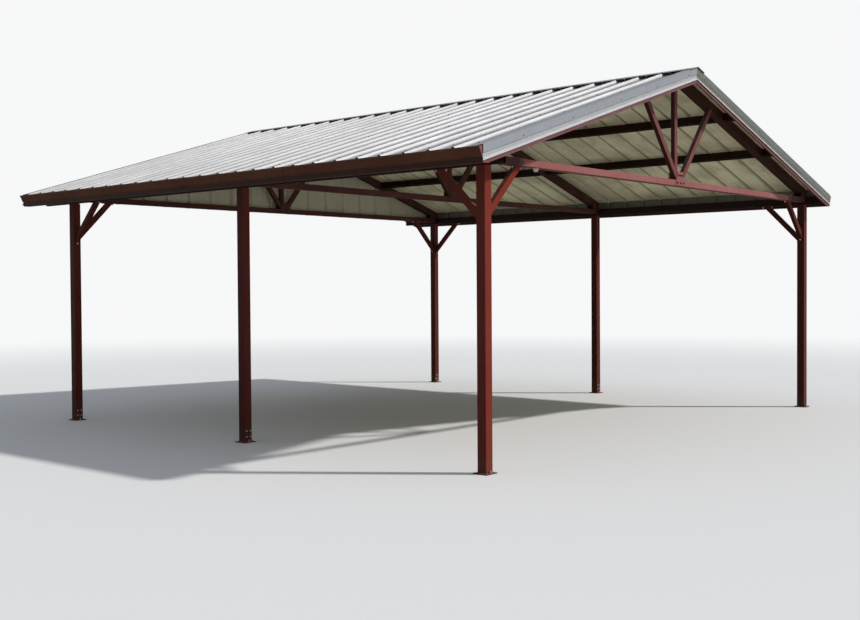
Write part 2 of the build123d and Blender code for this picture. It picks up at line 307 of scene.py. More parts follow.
class Effect:
    """A shader node group that several finishes share, built the first time it is placed."""

    title: str = ""
    numbers: dict[str, float] = {}
    results: tuple[str, ...] = ("Mask",)

    def tree(self) -> bpy.types.NodeTree:
        """Give the group, building it once.

        Returns:
            The node group with its sockets made.
        """
        made = bpy.data.node_groups.get(self.title)
        if made is None:
            made = bpy.data.node_groups.new(self.title, "ShaderNodeTree")
            for name, value in self.numbers.items():
                socket = made.interface.new_socket(name, in_out="INPUT", socket_type="NodeSocketFloat")
                socket.default_value = value
            for name in self.results:
                made.interface.new_socket(name, in_out="OUTPUT", socket_type="NodeSocketFloat")
            wiring = Wiring(made)
            given = made.nodes.new("NodeGroupInput")
            given.location = (-260, 0)
            ready = made.nodes.new("NodeGroupOutput")
            ready.location = (2900, 0)
            for name, socket in self.wire(wiring, given.outputs).items():
                made.links.new(socket, ready.inputs[name])
        return made

    def wire(self, w: Wiring, given: Sockets) -> Results:
        """Lay the group's own nodes.

        Args:
            w: Wiring of the group.
            given: The group's input sockets.

        Returns:
            A socket for each of the group's results.
        """
        raise NotImplementedError

    def put(self, w: Wiring, **values: float) -> Sockets:
        """Place the group in a material.

        Args:
            w: Wiring of the material.
            **values: The group's numbers for this material, by name.

        Returns:
            The placed group's output sockets.
        """
        return w.node("Group", values, node_tree=self.tree()).outputs

    def mask(self, w: Wiring, share: object, given: Sockets) -> Results:
        """Give a share as the mask, scaled by the group's strength."""
        return {"Mask": w.times(share, given["Strength"], clamp=True)}

    def eased(self, w: Wiring, value: object, given: Sockets) -> Results:
        """Give a mask that rises while a value goes from the group's Low to its High."""
        return {"Mask": w.between(value, given["Low"], given["High"])}


class ToneDrift(Effect):
    """Broad and fine changes of tone over a coat."""

    title = "Tone Drift"
    numbers = {"Scale": 1.2, "Fine": 14.0}
    results = ("Broad", "Fine")
    broad_range: Range = (0.36, 0.66)
    fine_range: Range = (0.34, 0.68)

    def wire(self, w: Wiring, given: Sockets) -> Results:
        """Read one broad and one fine cloud.

        Args:
            w: Wiring of the group.
            given: The group's input sockets.

        Returns:
            The socket of each result.
        """
        point = w.place()
        broad = w.between(w.cloud(point, given["Scale"], 5.0, 0.6), *self.broad_range)
        fine = w.between(w.cloud(point, given["Fine"], 3.0, 0.6), *self.fine_range)
        return {"Broad": broad, "Fine": fine}


class EdgeWear(Effect):
    """Rubbed corners, found where a rounded normal leaves the true one."""

    title = "Edge Wear"
    numbers = {"Radius": 0.004, "Strength": 0.6, "Patch Scale": 18.0}
    corner_range: Range = (0.985, 0.86)
    patch_range: Range = (0.46, 0.6)

    def wire(self, w: Wiring, given: Sockets) -> Results:
        """Compare the two normals and break the line up with a cloud.

        Args:
            w: Wiring of the group.
            given: The group's input sockets.

        Returns:
            The socket of each result.
        """
        rounded = w.node("Bevel", {"Radius": given["Radius"]}, samples=4).outputs[0]
        corner = w.between(w.agreement(rounded, w.facing()), *self.corner_range)
        patch = w.between(w.cloud(w.place(), given["Patch Scale"], 4.0, 0.65), *self.patch_range)
        return self.mask(w, w.times(corner, patch), given)


class SettledDust(Effect):
    """Dust that lies on faces that look up."""

    title = "Settled Dust"
    numbers = {"Strength": 0.5, "Scale": 9.0}
    level_range: Range = (0.25, 0.95)
    patch_range: Range = (0.3, 0.7)
    thinnest: float = 0.45

    def wire(self, w: Wiring, given: Sockets) -> Results:
        """Keep what looks up and thin it with a cloud.

        Args:
            w: Wiring of the group.
            given: The group's input sockets.

        Returns:
            The socket of each result.
        """
        level = w.between(w.axes(w.facing())["Z"], *self.level_range)
        patch = w.between(w.cloud(w.place(), given["Scale"], 5.0, 0.6), *self.patch_range, self.thinnest)
        return self.mask(w, w.times(level, patch), given)


class RunStreaks(Effect):
    """Streaks left by water: upright on walls and posts, down the slope on the roof."""

    title = "Run Streaks"
    numbers = {"Across": 30.0, "Along": 0.9, "Strength": 0.5}
    flat_range: Range = (0.5, 0.8)
    streak_range: Range = (0.5, 0.74)
    spell_scale: float = 1.7
    spell_range: Range = (0.44, 0.62)

    def wire(self, w: Wiring, given: Sockets) -> Results:
        """Squeeze a cloud along the way that water takes, by which way the face looks.

        Args:
            w: Wiring of the group.
            given: The group's input sockets.

        Returns:
            The socket of each result.
        """
        parts = w.axes(w.place())
        flat = w.between(w.math("ABSOLUTE", w.axes(w.facing())["Z"]), *self.flat_range)
        across_x, along_x = (w.times(parts["X"], given[name]) for name in ("Across", "Along"))
        run_y = w.times(parts["Y"], given["Across"])
        run_z = w.times(parts["Z"], given["Along"])
        run = {0: w.blend(flat, across_x, along_x), 1: run_y, 2: run_z}
        vector = w.node("CombineXYZ", run).outputs[0]
        streak = w.between(w.cloud(vector, 1.0, 5.0, 0.7), *self.streak_range)
        spell = w.between(w.cloud(w.place(), self.spell_scale, 3.0, 0.6), *self.spell_range)
        return self.mask(w, w.times(streak, spell), given)


class FootSplash(Effect):
    """Soil and splash on the lowest part of what stands on the floor."""

    title = "Foot Splash"
    numbers = {"Height": 0.35, "Strength": 0.7}
    ragged_scale: float = 26.0
    ragged_share: float = 0.8
    soil_range: Range = (1.25, 0.35)

    def wire(self, w: Wiring, given: Sockets) -> Results:
        """Fade upwards from the floor, with a ragged top.

        Args:
            w: Wiring of the group.
            given: The group's input sockets.

        Returns:
            The socket of each result.
        """
        point = w.place()
        share = w.math("DIVIDE", w.axes(point)["Z"], given["Height"])
        torn = w.times(w.cloud(point, self.ragged_scale, 5.0, 0.65), self.ragged_share)
        return self.mask(w, w.between(w.plus(share, torn), *self.soil_range), given)


class ZincSpangle(Effect):
    """Crystals of a hot-dipped coat and the soft waves of a rolled sheet."""

    title = "Zinc Spangle"
    numbers = {"Scale": 90.0, "Wave Scale": 2.6}
    results = ("Crystal", "Wave")
    wave_stretch: tuple[float, float, float] = (0.45, 2.2, 0.45)

    def wire(self, w: Wiring, given: Sockets) -> Results:
        """Give each crystal its own value, and read the waves squeezed down the slope.

        Args:
            w: Wiring of the group.
            given: The group's input sockets.

        Returns:
            The socket of each result.
        """
        point = w.place()
        cells = w.node("TexVoronoi", {"Vector": point, "Scale": given["Scale"]}, feature="F1")
        crystal = w.node("SeparateColor", {0: cells.outputs["Color"]}).outputs[0]
        wave = w.cloud(w.stretch(point, self.wave_stretch), given["Wave Scale"], 3.0, 0.5)
        return {"Crystal": crystal, "Wave": wave}


class PanelTone(Effect):
    """A slightly different tone for each sheet along the ridge."""

    title = "Panel Tone"
    numbers = {"Cover": 0.9144, "Shift": 0.1524}
    slope_step: float = 31.0

    def wire(self, w: Wiring, given: Sockets) -> Results:
        """Number the sheets by their place and give each number one value.

        Args:
            w: Wiring of the group.
            given: The group's input sockets.

        Returns:
            The socket of each result.
        """
        parts = w.axes(w.place())
        shifted = w.plus(parts["Y"], given["Shift"])
        number = w.math("FLOOR", w.math("DIVIDE", shifted, given["Cover"]))
        slope = w.times(w.math("SIGN", parts["X"]), self.slope_step)
        tone = w.node("TexWhiteNoise", {"W": w.plus(number, slope)}, noise_dimensions="1D")
        return {"Mask": tone.outputs["Value"]}


class LooksUp(Effect):
    """Faces that look up, such as pans, flanges and kicked-out hems."""

    title = "Looks Up"
    numbers = {"Low": 0.2, "High": 0.5}

    def wire(self, w: Wiring, given: Sockets) -> Results:
        """Keep faces by how far up or down their normal points."""
        return self.eased(w, w.axes(w.facing())["Z"], given)


class LooksDown(LooksUp):
    """The underside of a sheet, whose normal points below level."""

    title = "Looks Down"
    numbers = {"Low": -0.1, "High": -0.6}


class SlopeLevel(Effect):
    """Height of a point over the underside of the roof sheets."""

    title = "Slope Level"
    numbers = {"Ridge": 4.1816, "Fall": 0.31147}
    results = ("Level",)

    def wire(self, w: Wiring, given: Sockets) -> Results:
        """Take the sheets' own height there from the height of the point.

        Args:
            w: Wiring of the group.
            given: The group's input sockets.

        Returns:
            The socket of each result.
        """
        parts = w.axes(w.place())
        fall = w.times(w.math("ABSOLUTE", parts["X"]), given["Fall"])
        return {"Level": w.minus(w.plus(parts["Z"], fall), given["Ridge"])}


class SunSide(Effect):
    """Faces that look towards the sun lamp's side; the paint darkens the other faces as painted shade.
    """

    title = "Sun Side"
    numbers = {"Low": -0.15, "High": 0.35}
    noon: tuple[float, float, float] = (0.60, -0.80, 0.0)

    def wire(self, w: Wiring, given: Sockets) -> Results:
        """Compare the face's way with the sun lamp's side."""
        return self.eased(w, w.agreement(w.facing(), self.noon), given)


class RibSides(Effect):
    """Sides of the roof's ribs, given a brighter colour than the pans as a painted highlight."""

    title = "Rib Sides"
    numbers = {"Low": 0.3, "High": 0.55}
    upper_range: Range = (0.0, 0.2)

    def wire(self, w: Wiring, given: Sockets) -> Results:
        """Keep faces that lean along the ridge and still look up.

        Args:
            w: Wiring of the group.
            given: The group's input sockets.

        Returns:
            The socket of each result.
        """
        parts = w.axes(w.facing())
        leaning = self.eased(w, w.math("ABSOLUTE", parts["Y"]), given)["Mask"]
        return {"Mask": w.times(leaning, w.between(parts["Z"], *self.upper_range))}


class HeelGrime(Effect):
    """Painted shadow of the roof's edge over both ends of a truss, round its heel plates."""

    title = "Heel Grime"
    numbers = {"From": 3.05, "Strength": 0.8}
    edge_width: float = 0.09

    def wire(self, w: Wiring, given: Sockets) -> Results:
        """Keep what lies far enough from the middle of the span, with an uneven edge.

        Args:
            w: Wiring of the group.
            given: The group's input sockets.

        Returns:
            The socket of each result.
        """
        point = w.place()
        out = w.math("ABSOLUTE", w.axes(point)["X"])
        past = w.minus(w.plus(out, w.sway(point, 7.0, 0.2)), given["From"])
        return self.mask(w, w.math("DIVIDE", past, self.edge_width, clamp=True), given)


class EndPlates(Effect):
    """Plates that close the ends of a run along the ridge."""

    title = "End Plates"
    numbers = {"Low": 0.8, "High": 0.95}

    def wire(self, w: Wiring, given: Sockets) -> Results:
        """Keep faces that look straight along the ridge."""
        return self.eased(w, w.math("ABSOLUTE", w.axes(w.facing())["Y"]), given)


class LowBand(Effect):
    """Painted shade on the lowest band of a piece, below a height."""

    title = "Low Band"
    numbers = {"Top": 1.0, "Fade": 0.01, "Strength": 0.7}

    def wire(self, w: Wiring, given: Sockets) -> Results:
        """Keep what lies below a height, with an uneven edge.

        Args:
            w: Wiring of the group.
            given: The group's input sockets.

        Returns:
            The socket of each result.
        """
        point = w.place()
        height = w.plus(w.axes(point)["Z"], w.sway(point, 6.0, 0.02))
        below = w.minus(given["Top"], height)
        return self.mask(w, w.math("DIVIDE", below, given["Fade"], clamp=True), given)


class SeamLines(Effect):
    """Painted shade in narrow upright lines on a closure strip, one under each roof rib, at its joints.
    """

    title = "Seam Lines"
    numbers = {"Pitch": 0.3048, "Half Width": 0.006, "Strength": 0.8}

    def wire(self, w: Wiring, given: Sockets) -> Results:
        """Keep a narrow line halfway between whole pitches along the ridge.

        Args:
            w: Wiring of the group.
            given: The group's input sockets.

        Returns:
            The socket of each result.
        """
        along = w.axes(w.place())["Y"]
        share = w.math("FRACT", w.math("DIVIDE", along, given["Pitch"]))
        off = w.times(w.math("ABSOLUTE", w.minus(share, 0.5)), given["Pitch"])
        return self.mask(w, w.math("LESS_THAN", off, given["Half Width"]), given)


class PeelGrain(Effect):
    """Orange peel of a sprayed coat."""

    title = "Peel Grain"
    numbers = {"Scale": 420.0}
    results = ("Height",)
    fine_share: float = 0.5
    thick_scale: float = 34.0
    thick_range: Range = (0.56, 0.7)

    def wire(self, w: Wiring, given: Sockets) -> Results:
        """Read a fine cloud with a few thick spots.

        Args:
            w: Wiring of the group.
            given: The group's input sockets.

        Returns:
            The socket of each result.
        """
        point = w.place()
        fine = w.cloud(point, given["Scale"], 2.0, 0.5)
        thick = w.between(w.cloud(point, self.thick_scale, 2.0, 0.5), *self.thick_range)
        return {"Height": w.plus(w.times(fine, self.fine_share), thick)}


TONE = ToneDrift()
WEAR = EdgeWear()
DUST = SettledDust()
STREAKS = RunStreaks()
SPLASH = FootSplash()
SPANGLE = ZincSpangle()
PANEL = PanelTone()
UNDER = LooksDown()
UPWARD = LooksUp()
LEVEL = SlopeLevel()
SUN_SIDE = SunSide()
RIB_HIGHLIGHT = RibSides()
HEEL_SHADOW = HeelGrime()
END_PLATES = EndPlates()
LOW_BAND_SHADE = LowBand()
SEAM_SHADE = SeamLines()
PEEL = PeelGrain()


# ---------------------------------------------------------------- finishes


@dataclass(frozen=True)
class Finish:
    """What every finish shares: its name, and a material made once."""

    name: str

    def material(self) -> bpy.types.Material:
        """Give the finish's material, building it the first time.

        Returns:
            The material with its nodes laid.
        """
        made = bpy.data.materials.get(self.name)
        if made is None:
            made = bpy.data.materials.new(self.name)
            made.use_nodes = True
            made.node_tree.nodes.clear()
            wiring = Wiring(made.node_tree)
            shader = self.shade(wiring)
            wiring.node("OutputMaterial", {"Surface": shader})
        return made

    def shade(self, w: Wiring) -> Socket:
        """Lay the material's nodes and give its shader socket."""
        raise NotImplementedError

    def dress(self, piece: bpy.types.Object) -> None:
        """Put the finish in every material slot of a piece.

        Args:
            piece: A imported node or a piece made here.
        """
        if not piece.material_slots:
            piece.data.materials.append(self.material())
        for place in piece.material_slots:
            place.link = "OBJECT" if "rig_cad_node" in piece else "DATA"
            place.material = self.material()


@dataclass(frozen=True)
class SprayedPaint(Finish):
    """Oxide paint over steel tube: faded, streaked, dusty, worn, and darkened by painted shade."""

    coat: Colour
    faded: Colour
    grime: Colour
    dust: Colour = (0.36, 0.29, 0.24)
    bare: Colour = (0.30, 0.12, 0.075)
    soil: Colour = (0.17, 0.125, 0.095)
    roughness: float = 0.46
    gloss: float = 0.28
    fade_share: float = 0.55
    fine_share: float = 0.16
    streak_share: float = 0.5
    dust_share: float = 0.3
    splash_share: float = 0.0
    splash_height: float = 0.3
    wear_share: float = 0.55
    shade_share: float = 0.55
    heel_from: float = 0.0
    heel_share: float = 0.85
    low_band: float = 0.0
    drip_share: float = 0.8
    drip_fade: float = 0.006
    end_coat: Colour | None = None
    peel_height: float = 0.0006

    def shade(self, w: Wiring) -> Socket:
        """Lay fading, painted shade and highlight, runs, dust, splash and worn corners over the coat.

        Args:
            w: Wiring of the material.

        Returns:
            The paint's shader socket.
        """
        tone = TONE.put(w, Scale=1.3, Fine=15.0)
        runs = STREAKS.put(w, Across=23.0, Along=0.8, Strength=self.streak_share)["Mask"]
        lying = DUST.put(w, Strength=self.dust_share, Scale=11.0)["Mask"]
        worn = WEAR.put(w, Radius=0.004, Strength=self.wear_share)["Mask"]
        colour = w.mix(w.times(tone["Broad"], self.fade_share), self.coat, self.faded)
        colour = w.mix(w.times(tone["Fine"], self.fine_share), colour, self.faded)
        # Painted shade: faces that look away from the sun lamp are darkened towards the dark colour.
        away = w.times(w.minus(1.0, SUN_SIDE.put(w)["Mask"]), self.shade_share)
        colour = w.mix(away, colour, self.grime)
        # Painted shadow: the ends of the truss are darkened where the roof's edge shades them.
        if self.heel_from:
            heel = HEEL_SHADOW.put(w, From=self.heel_from, Strength=self.heel_share)["Mask"]
            colour = w.mix(heel, colour, self.grime)
        # Painted shade: the lowest band of the piece is darkened below a height.
        if self.low_band:
            band = {"Top": self.low_band, "Fade": self.drip_fade, "Strength": self.drip_share}
            colour = w.mix(LOW_BAND_SHADE.put(w, **band)["Mask"], colour, self.grime)
        # Painted highlight: the end plates get a brighter red, as if sunlit.
        if self.end_coat is not None:
            colour = w.mix(END_PLATES.put(w)["Mask"], colour, self.end_coat)
        colour = w.mix(runs, colour, self.grime)
        colour = w.mix(lying, colour, self.dust)
        soiled: object = 0.0
        if self.splash_share:
            soiled = SPLASH.put(w, Height=self.splash_height, Strength=self.splash_share)["Mask"]
            colour = w.mix(soiled, colour, self.soil)
        colour = w.mix(worn, colour, self.bare)
        loose, below = w.plus(lying, soiled), UNDER.put(w)["Mask"]
        looks = {
            "Base Color": colour,
            "Roughness": w.total(self.roughness, (tone["Fine"], 0.12), (loose, 0.35), (below, 0.5)),
            "Normal": w.bump(PEEL.put(w)["Height"], 0.12, self.peel_height),
            "Specular IOR Level": self.gloss,
        }
        return w.node("BsdfPrincipled", looks).outputs[0]


@dataclass(frozen=True)
class BareZinc(Finish):
    """Zinc-coated sheet left bare: bright above, stained and khaki where it looks down, with painted
    highlight and shade at the ribs.

    The three pairs of levels are heights over the underside of the roof sheets.
    """

    top: Colour
    under: Colour
    stain: Colour
    face: Colour | None = None
    band: Colour | None = None
    side: Colour | None = None
    hollow: Colour | None = None
    seams: bool = False
    metal: float = 0.6
    under_metal: float = 0.1
    roughness: float = 0.4
    stain_share: float = 0.45
    mottle_share: float = 0.4
    upper_mottle: float = 0.4
    under_runs: float = 1.0
    panel_share: float = 0.24
    wave_height: float = 0.012
    band_levels: Range = (-0.043, -0.047)
    side_levels: Range = (0.009, 0.015)
    hollow_levels: Range = (0.012, 0.022)
    crystal_least: float = 0.93
    crystal_share: float = 0.14

    def shade(self, w: Wiring) -> Socket:
        """Lay crystals, sheet tones, runs, the tints of upright and downward faces, and painted
        highlight and shade.

        Args:
            w: Wiring of the material.

        Returns:
            The sheet's shader socket.
        """
        below, level = UNDER.put(w)["Mask"], LEVEL.put(w)["Level"]
        grain = SPANGLE.put(w)
        tone = TONE.put(w, Scale=1.7, Fine=9.0)
        streaks = STREAKS.put(w, Across=26.0, Along=0.5, Strength=self.stain_share)["Mask"]
        runs = w.times(streaks, w.blend(below, 1.0, self.under_runs), clamp=True)
        colour: object = self.top
        if self.face is not None:
            face: object = self.face
            if self.band is not None:
                face = w.mix(w.between(level, *self.band_levels), face, self.band)
            colour = w.mix(UPWARD.put(w)["Mask"], face, self.top)
        # Painted highlight: the sides of the ribs take the brighter side colour.
        if self.side is not None:
            rib_highlight = w.times(RIB_HIGHLIGHT.put(w)["Mask"], w.between(level, *self.side_levels))
            colour = w.mix(rib_highlight, colour, self.side)
        colour = w.mix(below, colour, self.under)
        dark = w.mix(0.5, colour, self.stain)
        colour = w.mix(runs, colour, dark)
        mottle = w.blend(below, self.mottle_share * self.upper_mottle, self.mottle_share)
        colour = w.mix(w.times(tone["Broad"], mottle), colour, dark)
        colour = w.mix(w.times(PANEL.put(w)["Mask"], self.panel_share), colour, dark)
        # Painted shade: the hollows of the ribs, seen from below, are darkened.
        if self.hollow is not None:
            inside = w.times(below, w.between(level, *self.hollow_levels))
            colour = w.mix(inside, colour, self.hollow)
        # Painted shade: dark lines along the closure's joints.
        if self.seams:
            colour = w.mix(SEAM_SHADE.put(w)["Mask"], colour, self.under)
        value = w.plus(w.times(grain["Crystal"], self.crystal_share), self.crystal_least)
        speckle = w.node("CombineColor", {0: value, 1: value, 2: value}).outputs[0]
        looks = {
            "Base Color": w.mix(1.0, colour, speckle, "MULTIPLY"),
            "Metallic": w.blend(below, self.metal, self.under_metal),
            "Roughness": w.total(self.roughness, (grain["Crystal"], 0.1), (runs, 0.3), (below, 0.2)),
            "Normal": w.bump(grain["Wave"], 0.8, self.wave_height),
        }
        return w.node("BsdfPrincipled", looks).outputs[0]


@dataclass(frozen=True)
class Hardware(Finish):
    """Plated bolts, screws and cleats, dulled and rusted in spots."""

    metal: Colour
    rust: Colour = (0.13, 0.05, 0.022)
    worn: Colour = (0.62, 0.62, 0.61)
    rust_share: float = 0.35
    spot_scale: float = 70.0
    each_scale: float = 3.1
    metallic: float = 0.8
    roughness: float = 0.42

    def shade(self, w: Wiring) -> Socket:
        """Lay rust spots and worn corners over the plating.

        Args:
            w: Wiring of the material.

        Returns:
            The hardware's shader socket.
        """
        point = w.place()
        spots = w.between(w.cloud(point, self.spot_scale, 5.0, 0.7), 0.5, 0.66, 0.0, self.rust_share)
        each = w.between(w.cloud(point, self.each_scale, 1.0, 0.5), 0.4, 0.64, 0.25, 1.0)
        rusted = w.times(spots, each)
        worn = WEAR.put(w, Radius=0.0012, Strength=0.5)["Mask"]
        looks = {
            "Base Color": w.mix(worn, w.mix(rusted, self.metal, self.rust), self.worn),
            "Metallic": w.minus(self.metallic, w.times(rusted, 0.7), clamp=True),
            "Roughness": w.total(self.roughness, (rusted, 0.5)),
        }
        return w.node("BsdfPrincipled", looks).outputs[0]


@dataclass(frozen=True)
class Moulded(Finish):
    """Moulded plastic or rubber, a little chalky."""

    body: Colour
    chalk: Colour
    dust: Colour = (0.42, 0.38, 0.32)
    roughness: float = 0.5
    chalk_share: float = 0.6
    grain_height: float = 0.0004

    def shade(self, w: Wiring) -> Socket:
        """Lay chalking, dust and a fine grain over the moulding.

        Args:
            w: Wiring of the material.

        Returns:
            The moulding's shader socket.
        """
        tone = TONE.put(w, Scale=16.0, Fine=120.0)
        lying = DUST.put(w, Strength=0.4, Scale=60.0)["Mask"]
        chalky = w.mix(w.times(tone["Broad"], self.chalk_share), self.body, self.chalk)
        looks = {
            "Base Color": w.mix(lying, chalky, self.dust),
            "Roughness": w.total(self.roughness, (tone["Fine"], 0.15)),
            "Normal": w.bump(tone["Fine"], 0.15, self.grain_height),
        }
        return w.node("BsdfPrincipled", looks).outputs[0]


@dataclass(frozen=True)
class StudioFloor(Finish):
    """Pale floor that fades into the backdrop away from the object."""

    seen: Colour = (0.90, 0.90, 0.895)
    scuffed: Colour = (0.8, 0.8, 0.79)
    felt: Colour = (0.31, 0.29, 0.26)
    backdrop: Colour = (0.93, 0.935, 0.94)
    near: float = 9.0
    far: float = 26.0

    def shade(self, w: Wiring) -> Socket:
        """Shade the floor near the object and give it the backdrop's colour far away.

        Args:
            w: Wiring of the material.

        Returns:
            The floor's shader socket.
        """
        point = w.place()
        grain = w.cloud(point, 3.0, 5.0, 0.6)
        away = w.node("VectorMath", {0: point}, operation="LENGTH").outputs["Value"]
        fade = w.between(away, self.near, self.far)
        path = w.node("LightPath").outputs
        looked = w.math("MAXIMUM", path["Is Camera Ray"], path["Is Glossy Ray"])
        seen = w.mix(w.times(grain, 0.05), self.seen, self.scuffed)
        colour = w.mix(looked, self.felt, seen)
        looks = {"Base Color": colour, "Roughness": 0.9, "Specular IOR Level": 0.1}
        lit = w.node("BsdfPrincipled", looks).outputs[0]
        glow = w.node("Emission", {"Color": self.backdrop, "Strength": 1.0}).outputs[0]
        return w.node("MixShader", {0: fade, 1: lit, 2: glow}).outputs[0]


POST_PAINT = SprayedPaint(
    "oxide_post_paint",
    coat=(0.28, 0.039, 0.023),
    faded=(0.31, 0.055, 0.038),
    grime=(0.045, 0.016, 0.011),
    gloss=0.12,
    splash_share=0.3,
    shade_share=0.6,
)
# Painted shade: a darker copy of the post paint for the posts and braces that stand in shade.
SHADE_DARKENED_POST_PAINT = SprayedPaint(
    "oxide_right_post_paint",
    coat=(0.15, 0.027, 0.018),
    faded=(0.19, 0.042, 0.030),
    grime=(0.030, 0.012, 0.009),
    gloss=0.12,
    splash_share=0.3,
    shade_share=0.7,
)
# Front truss, web and rake paints: lighter and pinker than the posts, faded paint with a painted sunlit
# sheen.
TIE_PAINT_WITH_SHEEN = SprayedPaint(
    "oxide_truss_paint",
    coat=(0.40, 0.130, 0.120),
    faded=(0.50, 0.220, 0.214),
    grime=(0.055, 0.022, 0.022),
    streak_share=0.25,
    gloss=0.2,
    heel_from=3.05,
)
# Painted shade: a darker copy of the truss paint for the middle and rear trusses.
SHADE_DARKENED_TRUSS_PAINT = SprayedPaint(
    "oxide_inner_truss_paint",
    coat=(0.085, 0.026, 0.020),
    faded=(0.15, 0.060, 0.052),
    grime=(0.035, 0.014, 0.012),
    streak_share=0.35,
    gloss=0.12,
)
WEB_PAINT_WITH_SHEEN = SprayedPaint(
    "oxide_web_paint",
    coat=(0.23, 0.076, 0.071),
    faded=(0.31, 0.130, 0.126),
    grime=(0.035, 0.014, 0.012),
    streak_share=0.3,
    shade_share=0.85,
    gloss=0.12,
)
RAKE_PAINT_WITH_SHEEN = SprayedPaint(
    "oxide_rake_paint",
    coat=(0.25, 0.095, 0.098),
    faded=(0.34, 0.17, 0.18),
    grime=(0.10, 0.04, 0.04),
    streak_share=0.35,
)
# Painted shade: rafters under the roof get a darkened copy of the frame paint.
SHADE_DARKENED_RAFTER_PAINT = SprayedPaint(
    "oxide_rafter_paint",
    coat=(0.060, 0.022, 0.016),
    faded=(0.12, 0.055, 0.042),
    grime=(0.022, 0.011, 0.009),
    fade_share=0.5,
    shade_share=0.3,
    dust_share=0.2,
    gloss=0.12,
)
# Painted shade: side beams and purlins under the roof get a near-black copy of the frame paint.
PAINTED_SHADE_FRAME_PAINT = SprayedPaint(
    "oxide_roof_frame_paint",
    coat=(0.022, 0.0065, 0.0050),
    faded=(0.045, 0.016, 0.012),
    grime=(0.012, 0.006, 0.005),
    fade_share=0.4,
    dust_share=0.2,
    gloss=0.12,
)
# Gutter paint: a low band darkened as painted shade, end plates lightened as a painted highlight.
GUTTER_PAINT = SprayedPaint(
    "gutter_baked_paint",
    coat=(0.125, 0.051, 0.031),
    faded=(0.19, 0.083, 0.050),
    grime=(0.030, 0.014, 0.008),
    roughness=0.42,
    gloss=0.14,
    fade_share=0.6,
    shade_share=0.1,
    streak_share=0.6,
    dust_share=0.3,
    wear_share=0.3,
    low_band=2.873,
    end_coat=(0.40, 0.135, 0.12),
)
# Roof zinc: brighter rib sides are a painted highlight, darker rib hollows below are painted shade.
ROOF_ZINC = BareZinc(
    "bare_zinc_roof",
    top=(0.34, 0.355, 0.385),
    side=(0.63, 0.63, 0.64),
    under=(0.80, 0.77, 0.53),
    hollow=(0.45, 0.42, 0.285),
    stain=(0.17, 0.15, 0.085),
    under_runs=3.0,
    metal=0.4,
    under_metal=0.45,
    roughness=0.5,
    stain_share=0.3,
    mottle_share=0.75,
)
# Painted shade: the cap's underside is given a dark colour.
CAP_ZINC = BareZinc(
    "bare_zinc_cap",
    top=(0.40, 0.41, 0.43),
    under=(0.10, 0.10, 0.085),
    stain=(0.14, 0.14, 0.13),
    metal=0.4,
    roughness=0.55,
)
TRIM_ZINC = BareZinc(
    "bare_zinc_trim",
    top=(0.44, 0.45, 0.47),
    face=(0.49, 0.52, 0.565),
    band=(0.66, 0.67, 0.67),
    under=(0.5, 0.51, 0.51),
    stain=(0.24, 0.25, 0.26),
    panel_share=0.0,
    roughness=0.5,
)
# Right rake trims: faces darkened as painted shade, upward faces lightened as a painted highlight.
RIGHT_TRIM_ZINC_PAINTED_LIGHT = BareZinc(
    "bare_zinc_trim_stained",
    top=(0.62, 0.62, 0.58),
    face=(0.30, 0.31, 0.27),
    under=(0.4, 0.4, 0.37),
    stain=(0.17, 0.17, 0.14),
    panel_share=0.0,
    roughness=0.45,
)
# Painted highlight: the hem lips are near white so that they show as bright lines.
HIGHLIGHT_HEM_ZINC = BareZinc(
    "bare_zinc_hem",
    top=(0.90, 0.90, 0.91),
    under=(0.5, 0.5, 0.5),
    stain=(0.5, 0.5, 0.51),
    stain_share=0.2,
    panel_share=0.0,
    metal=0.1,
)
WALL_ZINC = BareZinc(
    "bare_zinc_wall",
    top=(0.66, 0.64, 0.50),
    under=(0.4, 0.39, 0.30),
    stain=(0.18, 0.17, 0.12),
    metal=0.2,
    roughness=0.45,
)
# Painted shade: a darkened copy of the wall zinc for the side closures under the roof.
SHADE_DARKENED_CLOSURE_ZINC = BareZinc(
    "bare_zinc_closure",
    top=(0.135, 0.130, 0.100),
    under=(0.030, 0.028, 0.022),
    stain=(0.07, 0.065, 0.05),
    seams=True,
    metal=0.2,
    roughness=0.5,
)
BOLT_ZINC = Hardware("plated_bolt", metal=(0.52, 0.52, 0.50))
# Painted highlight: the knee brace bolts are near white so that they show as bright dots.
HIGHLIGHT_BOLT = Hardware("new_plated_bolt", metal=(0.80, 0.80, 0.79), metallic=0.35, rust_share=0.15)
PAINTED_BOLT = Hardware("painted_bolt", metal=(0.12, 0.045, 0.036), metallic=0.15, rust_share=0.5)
SCREW_ZINC = Hardware("roof_screw", metal=(0.15, 0.15, 0.15), rust_share=0.6)
CLEAT_PAINT = Hardware("painted_cleat", metal=(0.05, 0.018, 0.015), metallic=0.1, rust_share=0.5)
SEAL_RUBBER = Moulded(
    "seal_rubber",
    body=(0.012, 0.012, 0.013),
    chalk=(0.035, 0.034, 0.033),
    roughness=0.75,
)
LAMP_SHELL = Moulded(
    "lamp_shell",
    body=(0.93, 0.92, 0.86),
    chalk=(0.86, 0.84, 0.74),
    roughness=0.38,
)
FLOOR_FINISH = StudioFloor("studio_floor")


# ---------------------------------------------------------------- shapes


